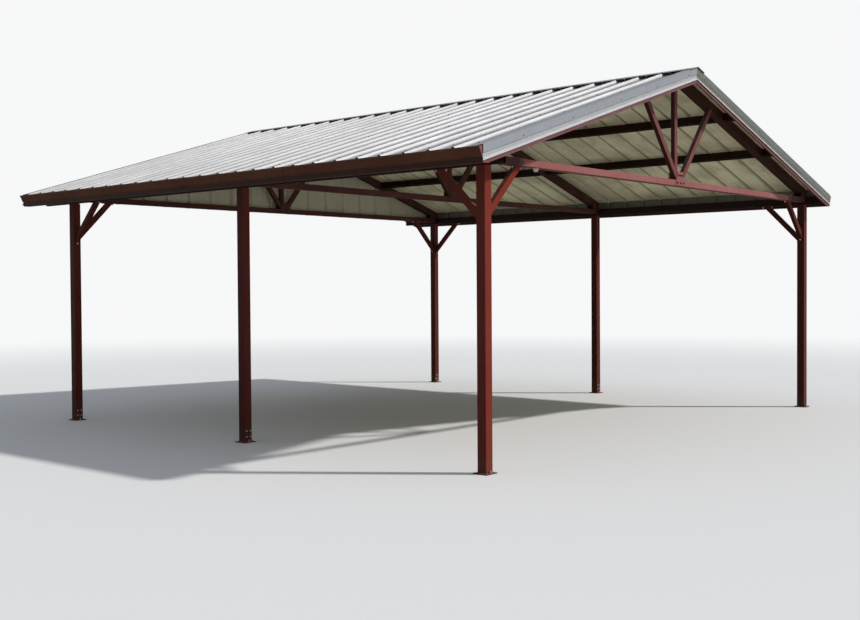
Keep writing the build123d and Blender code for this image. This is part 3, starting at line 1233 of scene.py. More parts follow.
@dataclass
class Shape:
    """Points and faces of one or more closed solids, before they become a piece."""

    points: list[Vector] = field(default_factory=list)
    faces: list[tuple[int, ...]] = field(default_factory=list)

    @classmethod
    def turned(cls, rings: Sequence[Point], sides: int) -> Shape:
        """Stack regular rings round Z and close both ends.

        Args:
            rings: Radius and height of each ring, from the bottom.
            sides: Corners of every ring.

        Returns:
            The closed solid.
        """
        made = cls()
        for radius, height in rings:
            for step in range(sides):
                angle = 2 * math.pi * step / sides
                made.points.append(Vector((radius * math.cos(angle), radius * math.sin(angle), height)))
        return made.joined(len(rings), sides)

    @classmethod
    def swept(cls, section: Sequence[Point], stations: Sequence[Matrix], closed: bool = False) -> Shape:
        """Carry a closed section through stations.

        Args:
            section: Corners of the section in its own X and Y.
            stations: Where the section stands, one after another.
            closed: Join the last station to the first.

        Returns:
            The swept solid, with ends unless it is closed.
        """
        made = cls()
        for station in stations:
            made.points.extend(station @ Vector((u, v, 0.0)) for u, v in section)
        return made.joined(len(stations), len(section), closed)

    @classmethod
    def bead(cls, corners: Sequence[Vector], radius: float, step: float) -> Shape:
        """Lay a rippled weld bead round a closed chain of straight runs.

        Args:
            corners: The chain's corners.
            radius: Half the bead's width.
            step: Length of one ripple.

        Returns:
            The bead.
        """
        angles = [math.pi * k / 3 for k in range(6)]
        section = [(radius * math.cos(angle), radius * math.sin(angle)) for angle in angles]
        line: list[tuple[Vector, Vector]] = []
        for start, stop in zip(corners, [*corners[1:], corners[0]]):
            run = stop - start
            parts = max(2, round(run.length / step))
            line.extend((start + run * ((k + 0.5) / parts), run.normalized()) for k in range(parts))
        stations = []
        for number, (point, way) in enumerate(line):
            swell = 1.0 + (0.16 if number % 2 else -0.1) + 0.08 * math.sin(number * 1.7)
            stations.append(seat(point, way) @ Matrix.Scale(swell, 4))
        return cls.swept(section, stations, closed=True)

    def joined(self, rings: int, sides: int, closed: bool = False) -> Shape:
        """Join rings of points that were laid one after another.

        Args:
            rings: How many rings there are.
            sides: Points in each ring.
            closed: Join the last ring to the first, and cap no ends.

        Returns:
            This shape with its faces.
        """
        for ring in range(rings if closed else rings - 1):
            low, high = ring * sides, (ring + 1) % rings * sides
            for step in range(sides):
                after = (step + 1) % sides
                self.faces.append((low + step, low + after, high + after, high + step))
        if not closed:
            self.faces.append(tuple(range(sides))[::-1])
            self.faces.append(tuple(range((rings - 1) * sides, rings * sides)))
        return self

    def moved(self, place: Matrix) -> Shape:
        """Give the shape at another place."""
        return Shape([place @ point for point in self.points], list(self.faces))

    def add(self, other: Shape) -> Shape:
        """Take another shape into this one.

        Args:
            other: The shape to take in.

        Returns:
            This shape, so that calls can follow each other.
        """
        start = len(self.points)
        self.points.extend(other.points)
        self.faces.extend(tuple(start + corner for corner in face) for face in other.faces)
        return self

    def set_out(self, places: Iterable[Matrix]) -> Shape:
        """Repeat the shape at many places.

        Args:
            places: A matrix for each place.

        Returns:
            One shape that holds every copy.
        """
        made = Shape()
        for place in places:
            made.add(self.moved(place))
        return made

    def piece(self, name: str, finish: Finish, slot: Slot, smooth: float = 30.0) -> None:
        """Make the shape a finished piece on the frame.

        Args:
            name: Name of the piece.
            finish: Finish that it gets.
            slot: Material slot of the record that it belongs to; not used.
            smooth: Corners flatter than this many degrees are shaded smooth.
        """
        bm = bmesh.new()
        corners = [bm.verts.new(point) for point in self.points]
        for face in self.faces:
            bm.faces.new([corners[k] for k in face])
        bmesh.ops.recalc_face_normals(bm, faces=bm.faces)
        mesh = bpy.data.meshes.new(name)
        bm.to_mesh(mesh)
        bm.free()
        mesh.polygons.foreach_set("use_smooth", [True] * len(mesh.polygons))
        mesh.set_sharp_from_angle(angle=math.radians(smooth))
        made = bpy.data.objects.new(name, mesh)
        bpy.context.scene.collection.objects.link(made)
        finish.dress(made)
        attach(made, "root")
        log.info("%-26s %6d points, finish %s", name, len(mesh.vertices), finish.name)


def turn_to(x: Vector, y: Vector, z: Vector) -> Matrix:
    """Give the turn that carries the axes X, Y and Z to three ways."""
    return Matrix((x, y, z)).transposed().to_4x4()


def seat(point: Sequence[float], outward: Sequence[float], spin: float = 0.0) -> Matrix:
    """Stand a small piece on a surface.

    Args:
        point: Where its foot is.
        outward: The way that its own Z points.
        spin: Turn about its own Z, in radians.

    Returns:
        The matrix that carries the piece there.
    """
    turn = Vector(outward).to_track_quat("Z", "Y").to_matrix().to_4x4()
    return Matrix.Translation(Vector(point)) @ turn @ Matrix.Rotation(spin, 4, "Z")


def offset_chain(chain: Sequence[Point], lift: float) -> list[Point]:
    """Shift an open chain of points to its left by an even distance.

    Args:
        chain: The chain.
        lift: How far to the left.

    Returns:
        The shifted chain, point for point.
    """
    points = [Vector(p) for p in chain]
    made: list[Point] = []
    for number, corner in enumerate(points):
        ways = []
        if number:
            ways.append((corner - points[number - 1]).normalized())
        if number + 1 < len(points):
            ways.append((points[number + 1] - corner).normalized())
        normals = [Vector((-way.y, way.x)) for way in ways]
        half = sum(normals, Vector((0.0, 0.0))).normalized()
        moved = corner + half * (lift / half.dot(normals[0]))
        made.append((moved.x, moved.y))
    return made


def skin(chain: Sequence[Point], gap: float, thickness: float) -> list[Point]:
    """Outline of a thin sheet that lies just off a chain of points.

    Args:
        chain: The chain that it follows.
        gap: Distance from the chain to the near face.
        thickness: Thickness of the sheet.

    Returns:
        Corners of the closed outline.
    """
    return offset_chain(chain, gap) + offset_chain(chain, gap + thickness)[::-1]


# ---------------------------------------------------------------- small hardware


@dataclass(frozen=True)
class HexBolt:
    """Hex head or nut on a round washer, with an optional threaded end."""

    across: float = 0.019
    head: float = 0.0078
    washer: float = 0.0125
    washer_thick: float = 0.0022
    thread: float = 0.006
    thread_out: float = 0.0
    thread_pitch: float = 0.0035

    def shape(self) -> Shape:
        """Build washer, chamfered hexagon and thread, standing on Z = 0.

        Returns:
            The three solids as one shape.
        """
        corner = self.across / math.sqrt(3)
        base, top = self.washer_thick, self.washer_thick + self.head
        washer = [(self.washer, 0.0), (self.washer, base * 0.75), (self.washer * 0.93, base)]
        hexagon = [
            (corner * 0.95, base),
            (corner, base + 0.0008),
            (corner, top - 0.0014),
            (corner * 0.84, top),
        ]
        made = Shape.turned(washer, 16).add(Shape.turned(hexagon, 6))
        if self.thread_out:
            made.add(Shape.turned(self.thread_rings(top), 10))
        return made

    def thread_rings(self, top: float) -> list[Point]:
        """List the crests and roots of the thread that stands on the head.

        Args:
            top: Height of the head.

        Returns:
            Radius and height of each ring.
        """
        rings = [(self.thread, top)]
        turns = max(2, int(self.thread_out / self.thread_pitch))
        for turn in range(turns):
            low = top + self.thread_out * turn / turns
            rings.append((self.thread, low + 0.0006))
            rings.append((self.thread * 0.86, low + self.thread_out / turns * 0.6))
        return [*rings, (self.thread * 0.8, top + self.thread_out)]

    def set_out(self, places: Iterable[Matrix], name: str, finish: Finish) -> None:
        """Make the bolt at all its places one piece of the steel frame.

        Args:
            places: A matrix for each bolt.
            name: Name of the piece.
            finish: Finish that it gets.
        """
        self.shape().set_out(places).piece(name, finish, Slot.FRAME)


@dataclass(frozen=True)
class SheetScrew:
    """Self-drilling screw: hex head with a flange, over a rubber seal."""

    seal: float = 0.0095
    seal_thick: float = 0.0026
    flange: float = 0.0078
    across: float = 0.008
    head: float = 0.0052

    def seal_shape(self) -> Shape:
        """Build the pressed rubber seal."""
        wide, thick = self.seal, self.seal_thick
        return Shape.turned([(wide * 0.9, 0.0), (wide, thick * 0.4), (wide * 0.86, thick)], 12)

    def head_shape(self) -> Shape:
        """Build the flange and the head above the seal.

        Returns:
            Both solids as one shape.
        """
        low, corner = self.seal_thick, self.across / math.sqrt(3)
        step, top = low + 0.0015, low + self.head
        flange = [(self.flange, low), (self.flange, low + 0.0007), (self.flange * 0.72, step)]
        head = [(corner, step), (corner, top), (corner * 0.8, top + 0.0008)]
        return Shape.turned(flange, 12).add(Shape.turned(head, 6))

    def set_out(self, places: Sequence[Matrix], kind: str, slot: Slot) -> None:
        """Make all the seals one piece and all the heads another.

        Args:
            places: A matrix for each screw.
            kind: First word of both names.
            slot: Material slot of the sheets that they hold.
        """
        self.seal_shape().set_out(places).piece(f"{kind}_screw_seals", SEAL_RUBBER, slot)
        self.head_shape().set_out(places).piece(f"{kind}_screw_heads", SCREW_ZINC, slot)


# ---------------------------------------------------------------- places on the frame


@dataclass(frozen=True)
class Survey:
    """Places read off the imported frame, so that every small piece sits on what carries it."""

    half_span: float
    rows: dict[Row, float]
    post_half: float
    beam_low: float
    beam_top: float
    beam_outer: float
    tie_low: float
    tie_half: float
    plate_face: float
    ridge: float
    edge: float
    sheet_edge: float
    pitch: float = math.radians(17.3)
    rib_pitch: float = 0.3048
    rib_height: float = 0.031
    rib_top: float = 0.026
    rib_base: float = 0.074
    sheet: float = 0.0008

    @classmethod
    def take(cls) -> Survey:
        """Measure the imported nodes.

        Returns:
            The survey.
        """
        post_low, post_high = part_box("post_front_left")
        beam_low, beam_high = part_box("side_beam_right")
        tie_low, tie_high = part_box("tie_front")
        sheet_low, sheet_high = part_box("roof_sheet_left")
        rafter_low, rafter_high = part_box("rafter_front_left")
        rows = {}
        for row in Row:
            low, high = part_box(f"post_{row.value}_left")
            rows[row] = (low.y + high.y) / 2
        return cls(
            half_span=-(post_low.x + post_high.x) / 2,
            rows=rows,
            post_half=(post_high.x - post_low.x) / 2,
            beam_low=beam_low.z,
            beam_top=beam_high.z,
            beam_outer=beam_high.x,
            tie_low=tie_low.z,
            tie_half=(rafter_high.y - rafter_low.y) / 2,
            plate_face=tie_high.y - rows[Row.FRONT],
            ridge=rafter_high.z,
            edge=sheet_high.y,
            sheet_edge=-sheet_low.x,
        )

    def sheet_z(self, x: float) -> float:
        """Give the height of the underside of the sheets at a level distance from the ridge."""
        return self.ridge - abs(x) * math.tan(self.pitch)

    def out(self, side: Side) -> Vector:
        """Give the way square off a slope."""
        return Vector((side.value * math.sin(self.pitch), 0.0, math.cos(self.pitch)))

    def down(self, side: Side) -> Vector:
        """Give the way down a slope."""
        return Vector((side.value * math.cos(self.pitch), 0.0, -math.sin(self.pitch)))

    def slope_place(self, side: Side, x: float, y: float, lift: float) -> Matrix:
        """Stand something on a slope, turned a little differently at each place.

        Args:
            side: Which slope.
            x: Level distance from the ridge.
            y: Place along the ridge.
            lift: Height square off the underside of the sheets.

        Returns:
            A matrix whose Z points square off the slope.
        """
        out = self.out(side)
        point = Vector((side.value * x, y, self.sheet_z(x))) + out * lift
        return seat(point, out, 0.4 * math.sin(19.0 * y + 3.0 * x))

    def ribs(self) -> list[float]:
        """Give the places of the major ribs.

        Returns:
            The place of each rib along the ridge, from the front.
        """
        count = int(self.edge / self.rib_pitch + 1)
        places = [(number + 0.5) * self.rib_pitch for number in range(-count, count)]
        return [y for y in places if abs(y) + self.rib_base / 2 < self.edge]

    def down_slope(self, side: Side, y: float, start: float, stop: float) -> list[Matrix]:
        """Give two stations for a section that runs down a slope.

        Args:
            side: Which slope.
            y: Where the section's own X is zero, along the ridge.
            start: Distance down the slope of the first station.
            stop: Distance down the slope of the last station.

        Returns:
            Matrices whose X runs along the ridge and whose Y points off the slope.
        """
        down, ridge = self.down(side), Vector((0.0, y, self.ridge))
        turn = turn_to(Vector((0.0, 1.0, 0.0)), self.out(side), down)
        return [Matrix.Translation(ridge + down * distance) @ turn for distance in (start, stop)]


# ---------------------------------------------------------------- sub-assemblies


@dataclass
class SubAssembly:
    """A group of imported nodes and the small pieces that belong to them."""

    survey: Survey

    def dress_nodes(self, finish: Finish, names: Iterable[str]) -> None:
        """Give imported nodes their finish.

        Args:
            finish: The finish.
            names: Names of the nodes.
        """
        for name in names:
            finish.dress(frame["nodes"][name])
            log.info("%-26s finish %s", name, finish.name)

    def build(self) -> None:
        """Dress the nodes and make the small pieces."""
        raise NotImplementedError


@dataclass
class Posts(SubAssembly):
    """Posts with their base plates, anchors, foot bolts and the bolts of the truss seats."""

    plate_top: float = 0.010
    anchor_out: float = 0.065
    anchor_radius: float = 0.0058
    foot_columns: tuple[float, float] = (-0.026, 0.026)
    foot_heights: tuple[float, float] = (0.065, 0.130)
    head_columns: tuple[float, float] = (-0.024, 0.024)
    head_drops: tuple[float, float, float] = (0.045, 0.105, 0.165)
    bead: float = 0.0038
    weld_cut: float = 0.94

    def build(self) -> None:
        """Dress posts and plates, then add anchors, bolts and welds."""
        inner = [f"post_{row.value}_left" for row in (Row.MIDDLE, Row.REAR)]
        self.dress_nodes(POST_PAINT, ["post_front_left", "base_plates"])
        # The posts in shade take the darker copy of the paint as painted shade.
        self.dress_nodes(SHADE_DARKENED_POST_PAINT, inner + [f"post_{row.value}_right" for row in Row])
        self.anchors()
        self.foot_bolts()
        self.head_bolts()
        self.foot_welds()

    def centres(self) -> list[tuple[Row, Side, float, float]]:
        """Give the row, the side and the middle of every post."""
        s = self.survey
        return [(row, side, side.value * s.half_span, y) for row, y in s.rows.items() for side in Side]

    def anchors(self) -> None:
        """Set a nut on a threaded anchor in each hole of the base plates."""
        rod = self.anchor_radius
        nut = HexBolt(across=0.018, head=0.0098, washer=0.0122, thread=rod, thread_out=0.016).shape()
        nut.add(Shape.turned([(rod, -self.plate_top + 0.0008), (rod, 0.001)], 10))
        places = []
        for number, (_, _, x, y) in enumerate(self.centres()):
            for turn, way in enumerate(BOTH_WAYS):
                point = (x, y + way * self.anchor_out, self.plate_top)
                places.append(seat(point, (0, 0, 1), 0.7 * number + 0.3 * turn))
        nut.set_out(places).piece("anchor_nuts", BOLT_ZINC, Slot.FRAME)

    def foot_bolts(self) -> None:
        """Bolt the middle and rear posts through their foot sleeves, heads in front and nuts behind."""
        s = self.survey
        heads, nuts = [], []
        for row, _, x, y in self.centres():
            if row is Row.FRONT:
                continue
            for column in self.foot_columns:
                for height in self.foot_heights:
                    spin = 40.0 * height + 9.0 * column + x
                    heads.append(seat((x + column, y - s.post_half, height), (0, -1, 0), spin))
                    nuts.append(seat((x + column, y + s.post_half, height), (0, 1, 0), spin + 0.5))
        HexBolt(across=0.015, washer=0.0105).set_out(heads, "foot_bolt_heads", BOLT_ZINC)
        nut = HexBolt(across=0.015, washer=0.0105, thread=0.0048, thread_out=0.007)
        nut.set_out(nuts, "foot_bolt_nuts", BOLT_ZINC)

    def head_bolts(self) -> None:
        """Bolt the seat of the middle truss through the tops of its posts."""
        s = self.survey
        heads = []
        for row, _, x, y in self.centres():
            if row is not Row.MIDDLE:
                continue
            for way in BOTH_WAYS:
                for column in self.head_columns:
                    for drop in self.head_drops:
                        point = (x + column, y + way * s.post_half, s.beam_low - drop)
                        heads.append(seat(point, (0, way, 0), drop * 31.0 + column * 20.0))
        HexBolt(across=0.016, washer=0.011).set_out(heads, "post_head_bolts", PAINTED_BOLT)

    def foot_welds(self) -> None:
        """Run a weld bead round the foot of each post, cutting its corners."""
        half, cut = self.survey.post_half, self.weld_cut
        corners = [(1, -cut), (1, cut), (cut, 1), (-cut, 1)]
        corners += [(-a, -b) for a, b in corners]
        welds = Shape()
        for _, _, x, y in self.centres():
            ring = [Vector((x + half * a, y + half * b, self.plate_top)) for a, b in corners]
            welds.add(Shape.bead(ring, self.bead, 0.005))
        welds.piece("post_foot_welds", POST_PAINT, Slot.FRAME, 50.0)


@dataclass
class Trusses(SubAssembly):
    """Ties, rafters and webs with the bolts of the gussets and heels."""

    gusset_columns: tuple[float, float, float] = (-0.070, 0.0, 0.070)
    gusset_rows: tuple[float, float] = (0.036, 0.122)
    gusset_taper: float = 0.62
    heel_start: float = 0.025
    heel_bolts: tuple[Point, ...] = (
        (0.050, 0.034),
        (0.050, 0.100),
        (0.115, 0.034),
        (0.115, 0.100),
        (0.440, 0.034),
        (0.510, 0.034),
    )
    web_foot: float = 0.043
    web_size: float = 0.064
    web_angle: float = math.radians(51.0)
    weld_gap: float = 0.0005
    bead: float = 0.003
    ripple: float = 0.004

    def build(self) -> None:
        """Dress the truss members, then add bolts and welds."""
        # The front tie and webs take the paints lightened by a painted sheen.
        self.dress_nodes(TIE_PAINT_WITH_SHEEN, ["tie_front"])
        self.dress_nodes(WEB_PAINT_WITH_SHEEN, ["truss_webs_front"])
        # The middle and rear ties and webs take the darker copy of the paint as painted shade.
        for part in ("tie", "truss_webs"):
            self.dress_nodes(SHADE_DARKENED_TRUSS_PAINT, [f"{part}_{row.value}" for row in (Row.MIDDLE, Row.REAR)])
        for side in Side:
            # Rafters take the darkened paint as painted shade.
            self.dress_nodes(SHADE_DARKENED_RAFTER_PAINT, [f"rafter_{row.value}_{side.word}" for row in Row])
            # Rake rafters take the paint lightened by a painted sheen.
            self.dress_nodes(RAKE_PAINT_WITH_SHEEN, [f"rake_rafter_{end.word}_{side.word}" for end in End])
        self.gusset_bolts()
        self.plate_bolts()
        self.web_welds()

    def open_ways(self, row: Row) -> tuple[int, ...]:
        """Give the ways that a truss's bolts show: a sheet covers the back of the rear truss."""
        return (-1,) if row is Row.REAR else BOTH_WAYS

    def gusset_bolts(self) -> None:
        """Bolt the middle gussets through the tie and the feet of the webs."""
        s = self.survey
        places = []
        for row, y in s.rows.items():
            for way in self.open_ways(row):
                for column in self.gusset_columns:
                    for rise in self.gusset_rows:
                        x = column * (1.0 if rise == self.gusset_rows[0] else self.gusset_taper)
                        point = (x, y + way * s.plate_face, s.tie_low + rise)
                        places.append(seat(point, (0, way, 0), 11.0 * column + rise * 50.0))
        HexBolt(thread_out=0.006).set_out(places, "gusset_bolts", PAINTED_BOLT)

    def plate_bolts(self) -> None:
        """Bolt the heel plates through the ties and the ends of the rafters."""
        s = self.survey
        places = []
        for row, y in s.rows.items():
            for side in Side:
                for way in self.open_ways(row):
                    for along, rise in self.heel_bolts:
                        x = side.value * (s.half_span - self.heel_start - along)
                        point = (x, y + way * s.plate_face, s.tie_low + rise)
                        places.append(seat(point, (0, way, 0), 17.0 * along + rise * 40.0))
        HexBolt(across=0.018, washer=0.012).set_out(places, "heel_plate_bolts", PAINTED_BOLT)

    def web_welds(self) -> None:
        """Weld the feet of the webs to the top of the tie."""
        s = self.survey
        half, gap, welds = self.web_size / 2, self.weld_gap, Shape()
        half_foot = half / math.sin(self.web_angle)
        feet = [(-half, half, gap, s.tie_half - gap)]
        for side in Side:
            ends = (side.value * (self.web_foot - half_foot), side.value * (self.web_foot + half_foot))
            feet.append((min(ends), max(ends), gap - s.tie_half, -gap))
        for y in s.rows.values():
            for low, high, front, back in feet:
                corners = ((low, front), (high, front), (high, back), (low, back))
                ring = [Vector((x, y + v, s.beam_top)) for x, v in corners]
                welds.add(Shape.bead(ring, self.bead, self.ripple))
        welds.piece("web_foot_welds", TIE_PAINT_WITH_SHEEN, Slot.FRAME, 50.0)


@dataclass
class KneeBraces(SubAssembly):
    """Knee braces with the bolts through their tabs and the welds behind."""

    run: float = 0.465
    size: float = 0.064
    depth: float = 0.050
    tab: float = 0.006
    bolt_out: float = 0.062
    bead: float = 0.003
    ripple: float = 0.004

    def build(self) -> None:
        """Dress the braces, then add their bolts and welds."""
        self.dress_nodes(POST_PAINT, ["knee_braces_front_left"])
        # The other braces stand in shade and take the darker copy of the paint as painted shade.
        others = ["rear_left", "front_right", "rear_right"]
        self.dress_nodes(SHADE_DARKENED_POST_PAINT, [f"knee_braces_{place}" for place in others])
        low, high, welds = [], [], Shape()
        half, long = self.depth / 2, self.size / 2 * math.sqrt(2)
        for origin, away, top in self.props():
            across = Vector((-away.y, away.x, 0.0))
            foot = origin + away * self.tab + Vector((0, 0, top - self.run + self.tab))
            head = origin + away * (self.run - self.tab) + Vector((0, 0, top - self.tab))
            for way in BOTH_WAYS:
                low.append(seat(foot + Vector((0, 0, way * self.bolt_out)), away, way + foot.x))
                high.append(seat(head + away * (way * self.bolt_out), (0, 0, -1), way + head.y))
            for middle, along in ((foot, Vector((0, 0, 1))), (head, away)):
                corners = ((half, long), (-half, long), (-half, -long), (half, -long))
                ring = [middle + across * a + along * b for a, b in corners]
                welds.add(Shape.bead(ring, self.bead, self.ripple))
        bolt = HexBolt(across=0.017, washer=0.0115, thread=0.005, thread_out=0.009)
        bolt.set_out(low + high, "knee_brace_bolts", HIGHLIGHT_BOLT)
        welds.piece("knee_brace_welds", POST_PAINT, Slot.FRAME, 50.0)

    def props(self) -> list[tuple[Vector, Vector, float]]:
        """List the braces.

        Returns:
            For each one the post face that it starts from, the level way that it goes, and
            the height of the member that it props.
        """
        s = self.survey
        made = []
        for row, way in ((Row.FRONT, 1.0), (Row.REAR, -1.0)):
            y = s.rows[row]
            for side in Side:
                post = Vector((side.value * s.half_span, y, 0))
                inward = Vector((-side.value, 0.0, 0.0))
                along = Vector((0.0, way, 0.0))
                made.append((post + inward * s.post_half, inward, s.tie_low))
                made.append((post + along * s.post_half, along, s.beam_low))
        return made


@dataclass
class RoofFrame(SubAssembly):
    """Side beams and purlins, with the cleats that hold the purlins to the rafters."""

    runs: tuple[float, float] = (1.130, 2.225)
    cleat: float = 0.055
    cleat_thick: float = 0.004
    short_leg: float = 0.8
    bolt_along: float = 0.62
    bolt_down: float = 0.52
    cleat_levels: Range = (-0.085, -0.015)
    bolt_levels: Range = (-0.034, -0.066)
    web_inside: float = -0.023
    rake_wall: float = 0.0025

    def build(self) -> None:
        """Dress beams and purlins, then add the cleats and their bolts."""
        # Beams and purlins take the near-black paint as painted shade.
        for member in ("side_beam", "purlin_upper", "purlin_lower"):
            self.dress_nodes(PAINTED_SHADE_FRAME_PAINT, [f"{member}_{side.word}" for side in Side])
        self.cleats()

    def faces(self) -> list[tuple[float, int]]:
        """List the faces that hold the ends of the purlins.

        Returns:
            The place of each face along the ridge and the way that it looks.
        """
        s = self.survey
        made = [(y + way * s.tie_half, way) for y in s.rows.values() for way in BOTH_WAYS]
        rake = s.edge - self.rake_wall
        return [*made, (-rake, 1), (rake, -1)]

    def cleats(self) -> None:
        """Put an angle in the corner of each purlin end, with two bolts in each leg."""
        s = self.survey
        t, long = self.cleat_thick, self.cleat
        short = long * self.short_leg
        section = [(0, 0), (0, long), (t, long), (t, t), (short, t), (short, 0)]
        angle, bolts = Shape(), []
        for side in Side:
            down, out = s.down(side), s.out(side)
            for run in self.runs:
                for y, way in self.faces():
                    along = Vector((0.0, way, 0.0))
                    corner = Vector((side.value * run, y, s.sheet_z(run))) + down * self.web_inside
                    turn = turn_to(down, along, out)
                    ends = [Matrix.Translation(corner + out * level) for level in self.cleat_levels]
                    angle.add(Shape.swept(section, [end @ turn for end in ends]))
                    for level in self.bolt_levels:
                        middle = corner + out * level
                        bolts.append(seat(middle + down * t + along * (long * self.bolt_along), down))
                        bolts.append(seat(middle + along * t + down * (long * self.bolt_down), along))
        angle.piece("purlin_cleats", CLEAT_PAINT, Slot.FRAME)
        bolt = HexBolt(across=0.013, head=0.005, washer=0.009, washer_thick=0.0015)
        bolt.set_out(bolts, "purlin_cleat_bolts", BOLT_ZINC)


@dataclass
class RoofSheets(SubAssembly):
    """Ribbed roof sheets, their side laps and their screws with rubber seals."""

    lines: tuple[float, float, float] = (1.130, 2.225, 3.625)
    beside_rib: float = 0.054
    trim_cover: float = 0.085
    lap_every: int = 3
    lap_start: float = 0.03
    screw: SheetScrew = SheetScrew()

    def build(self) -> None:
        """Dress the sheets, then add laps and screws."""
        self.dress_nodes(ROOF_ZINC, [f"roof_sheet_{side.word}" for side in Side])
        self.laps()
        self.screws()

    def laps(self) -> None:
        """Lay the upper edge of each side lap over its rib, down to just short of the pan."""
        s = self.survey
        chain = [
            (-s.rib_base / 2 - 0.010, 0.0),
            (-s.rib_base / 2, 0.0),
            (-s.rib_top / 2, s.rib_height),
            (s.rib_top / 2, s.rib_height),
            (s.rib_base / 2 - 0.006, 0.0078),
        ]
        outline = skin(chain, s.sheet + LAP_GAP, s.sheet)
        length = s.sheet_edge / math.cos(s.pitch) - 0.001
        laps = Shape()
        for side in Side:
            for y in s.ribs()[1 :: self.lap_every]:
                laps.add(Shape.swept(outline, s.down_slope(side, y, self.lap_start, length)))
        laps.piece("roof_side_laps", ROOF_ZINC, Slot.ROOF, 20.0)

    def screws(self) -> None:
        """Set the screw lines over the purlins and the side beams."""
        s = self.survey
        spots = [y + way * self.beside_rib for y in s.ribs() for way in BOTH_WAYS]
        open_spots = [spot for spot in spots if abs(spot) < s.edge - self.trim_cover]
        places = []
        for side in Side:
            for line in self.lines:
                places.extend(s.slope_place(side, line, spot, s.sheet) for spot in open_spots)
        self.screw.set_out(places, "roof", Slot.ROOF)


@dataclass
class RidgeCap(SubAssembly):
    """Ridge cap with its screws into the ribs and the laps between its lengths."""

    lift: float = 0.0336
    flange: float = 0.150
    screw_down: float = 0.122
    joints: tuple[float, float] = (-1.29, 1.31)
    joint_cover: float = 0.09
    lap_top: float = 0.0009
    lap_start: float = 0.006
    screw: SheetScrew = SheetScrew()

    def build(self) -> None:
        """Dress the cap, then add its screws and laps."""
        s = self.survey
        self.dress_nodes(CAP_ZINC, ["ridge_cap"])
        places, laps, base = [], Shape(), self.lift + s.sheet
        low, high = base + LAP_GAP, base + self.lap_top
        outline = [(0.0, low), (self.joint_cover, low), (self.joint_cover, high), (0.0, high)]
        start = self.lap_start + base * math.tan(s.pitch)
        for side in Side:
            out, down = s.out(side), s.down(side)
            for y in s.ribs():
                point = Vector((0.0, y, s.ridge)) + down * self.screw_down + out * base
                places.append(seat(point, out, 5.0 * y))
            for y in self.joints:
                laps.add(Shape.swept(outline, s.down_slope(side, y, start, self.flange)))
        self.screw.set_out(places, "ridge", Slot.ROOF)
        laps.piece("ridge_cap_laps", CAP_ZINC, Slot.ROOF)


@dataclass
class RakeTrims(SubAssembly):
    """Stepped trims along the rakes, with face screws and one lap on each slope."""

    screw_places: tuple[float, ...] = (0.20, 0.92, 1.66, 2.55, 3.37)
    face_drop: float = 0.052
    proud: float = 0.0083
    top_lift: float = 0.0323
    upper: float = 0.072
    lap_place: float = 1.72
    lap_cover: float = 0.11
    lap_flange: float = 0.07
    lap_thick: float = 0.0007
    hem_out: float = 0.0113
    hem_drop: float = 0.122
    hem_lip: float = 0.014
    hem_thick: float = 0.0012
    hem_start: float = 0.0006
    hem_stop: float = 0.003
    tail: float = 0.045
    screw: SheetScrew = SheetScrew(
        seal=0.0078,
        seal_thick=0.0015,
        flange=0.0066,
        across=0.0064,
        head=0.0036,
    )

    def build(self) -> None:
        """Dress the trims, then add their screws and laps."""
        s = self.survey
        self.dress_nodes(TRIM_ZINC, [f"rake_trim_{end.word}_left" for end in End])
        self.dress_nodes(RIGHT_TRIM_ZINC_PAINTED_LIGHT, [f"rake_trim_{end.word}_right" for end in End])
        places, laps = [], {side: Shape() for side in Side}
        top, start = self.top_lift + s.sheet, self.lap_place / math.cos(s.pitch)
        for end in End:
            proud = end.value * self.proud
            chain = [
                (-end.value * self.lap_flange, top),
                (proud, top),
                (proud, self.top_lift - self.upper),
            ]
            outline = skin(chain[:: end.value], LAP_GAP, self.lap_thick)
            for side in Side:
                for x in self.screw_places:
                    point = Vector((side.value * x, end.value * s.edge + proud, s.sheet_z(x)))
                    point += s.out(side) * (self.top_lift - self.face_drop)
                    places.append(seat(point, (0, end.value, 0), 3.0 * x))
                stations = s.down_slope(side, end.value * s.edge, start, start + self.lap_cover)
                laps[side].add(Shape.swept(outline, stations))
        self.screw.set_out(places, "trim", Slot.ROOF)
        laps[Side.LEFT].piece("rake_trim_laps_left", TRIM_ZINC, Slot.ROOF)
        laps[Side.RIGHT].piece("rake_trim_laps_right", RIGHT_TRIM_ZINC_PAINTED_LIGHT, Slot.ROOF)
        self.hem_lips()

    def hem_lips(self) -> None:
        """Fold a narrow upright lip along the outer edge of each hem, plumb at both ends."""
        s = self.survey
        high = self.top_lift - self.hem_drop
        low = high - self.hem_lip
        plumb = -low * math.tan(s.pitch)
        start = plumb + self.hem_start
        stop = (s.sheet_edge + self.tail) / math.cos(s.pitch) + plumb - self.hem_stop
        lips = Shape()
        for end in End:
            near, far = sorted((end.value * self.hem_out, end.value * (self.hem_out + self.hem_thick)))
            outline = [(near, low), (far, low), (far, high), (near, high)]
            for side in Side:
                lips.add(Shape.swept(outline, s.down_slope(side, end.value * s.edge, start, stop)))
        # The lips take the near-white hem zinc as a painted highlight.
        lips.piece("rake_hem_lips", HIGHLIGHT_HEM_ZINC, Slot.ROOF)


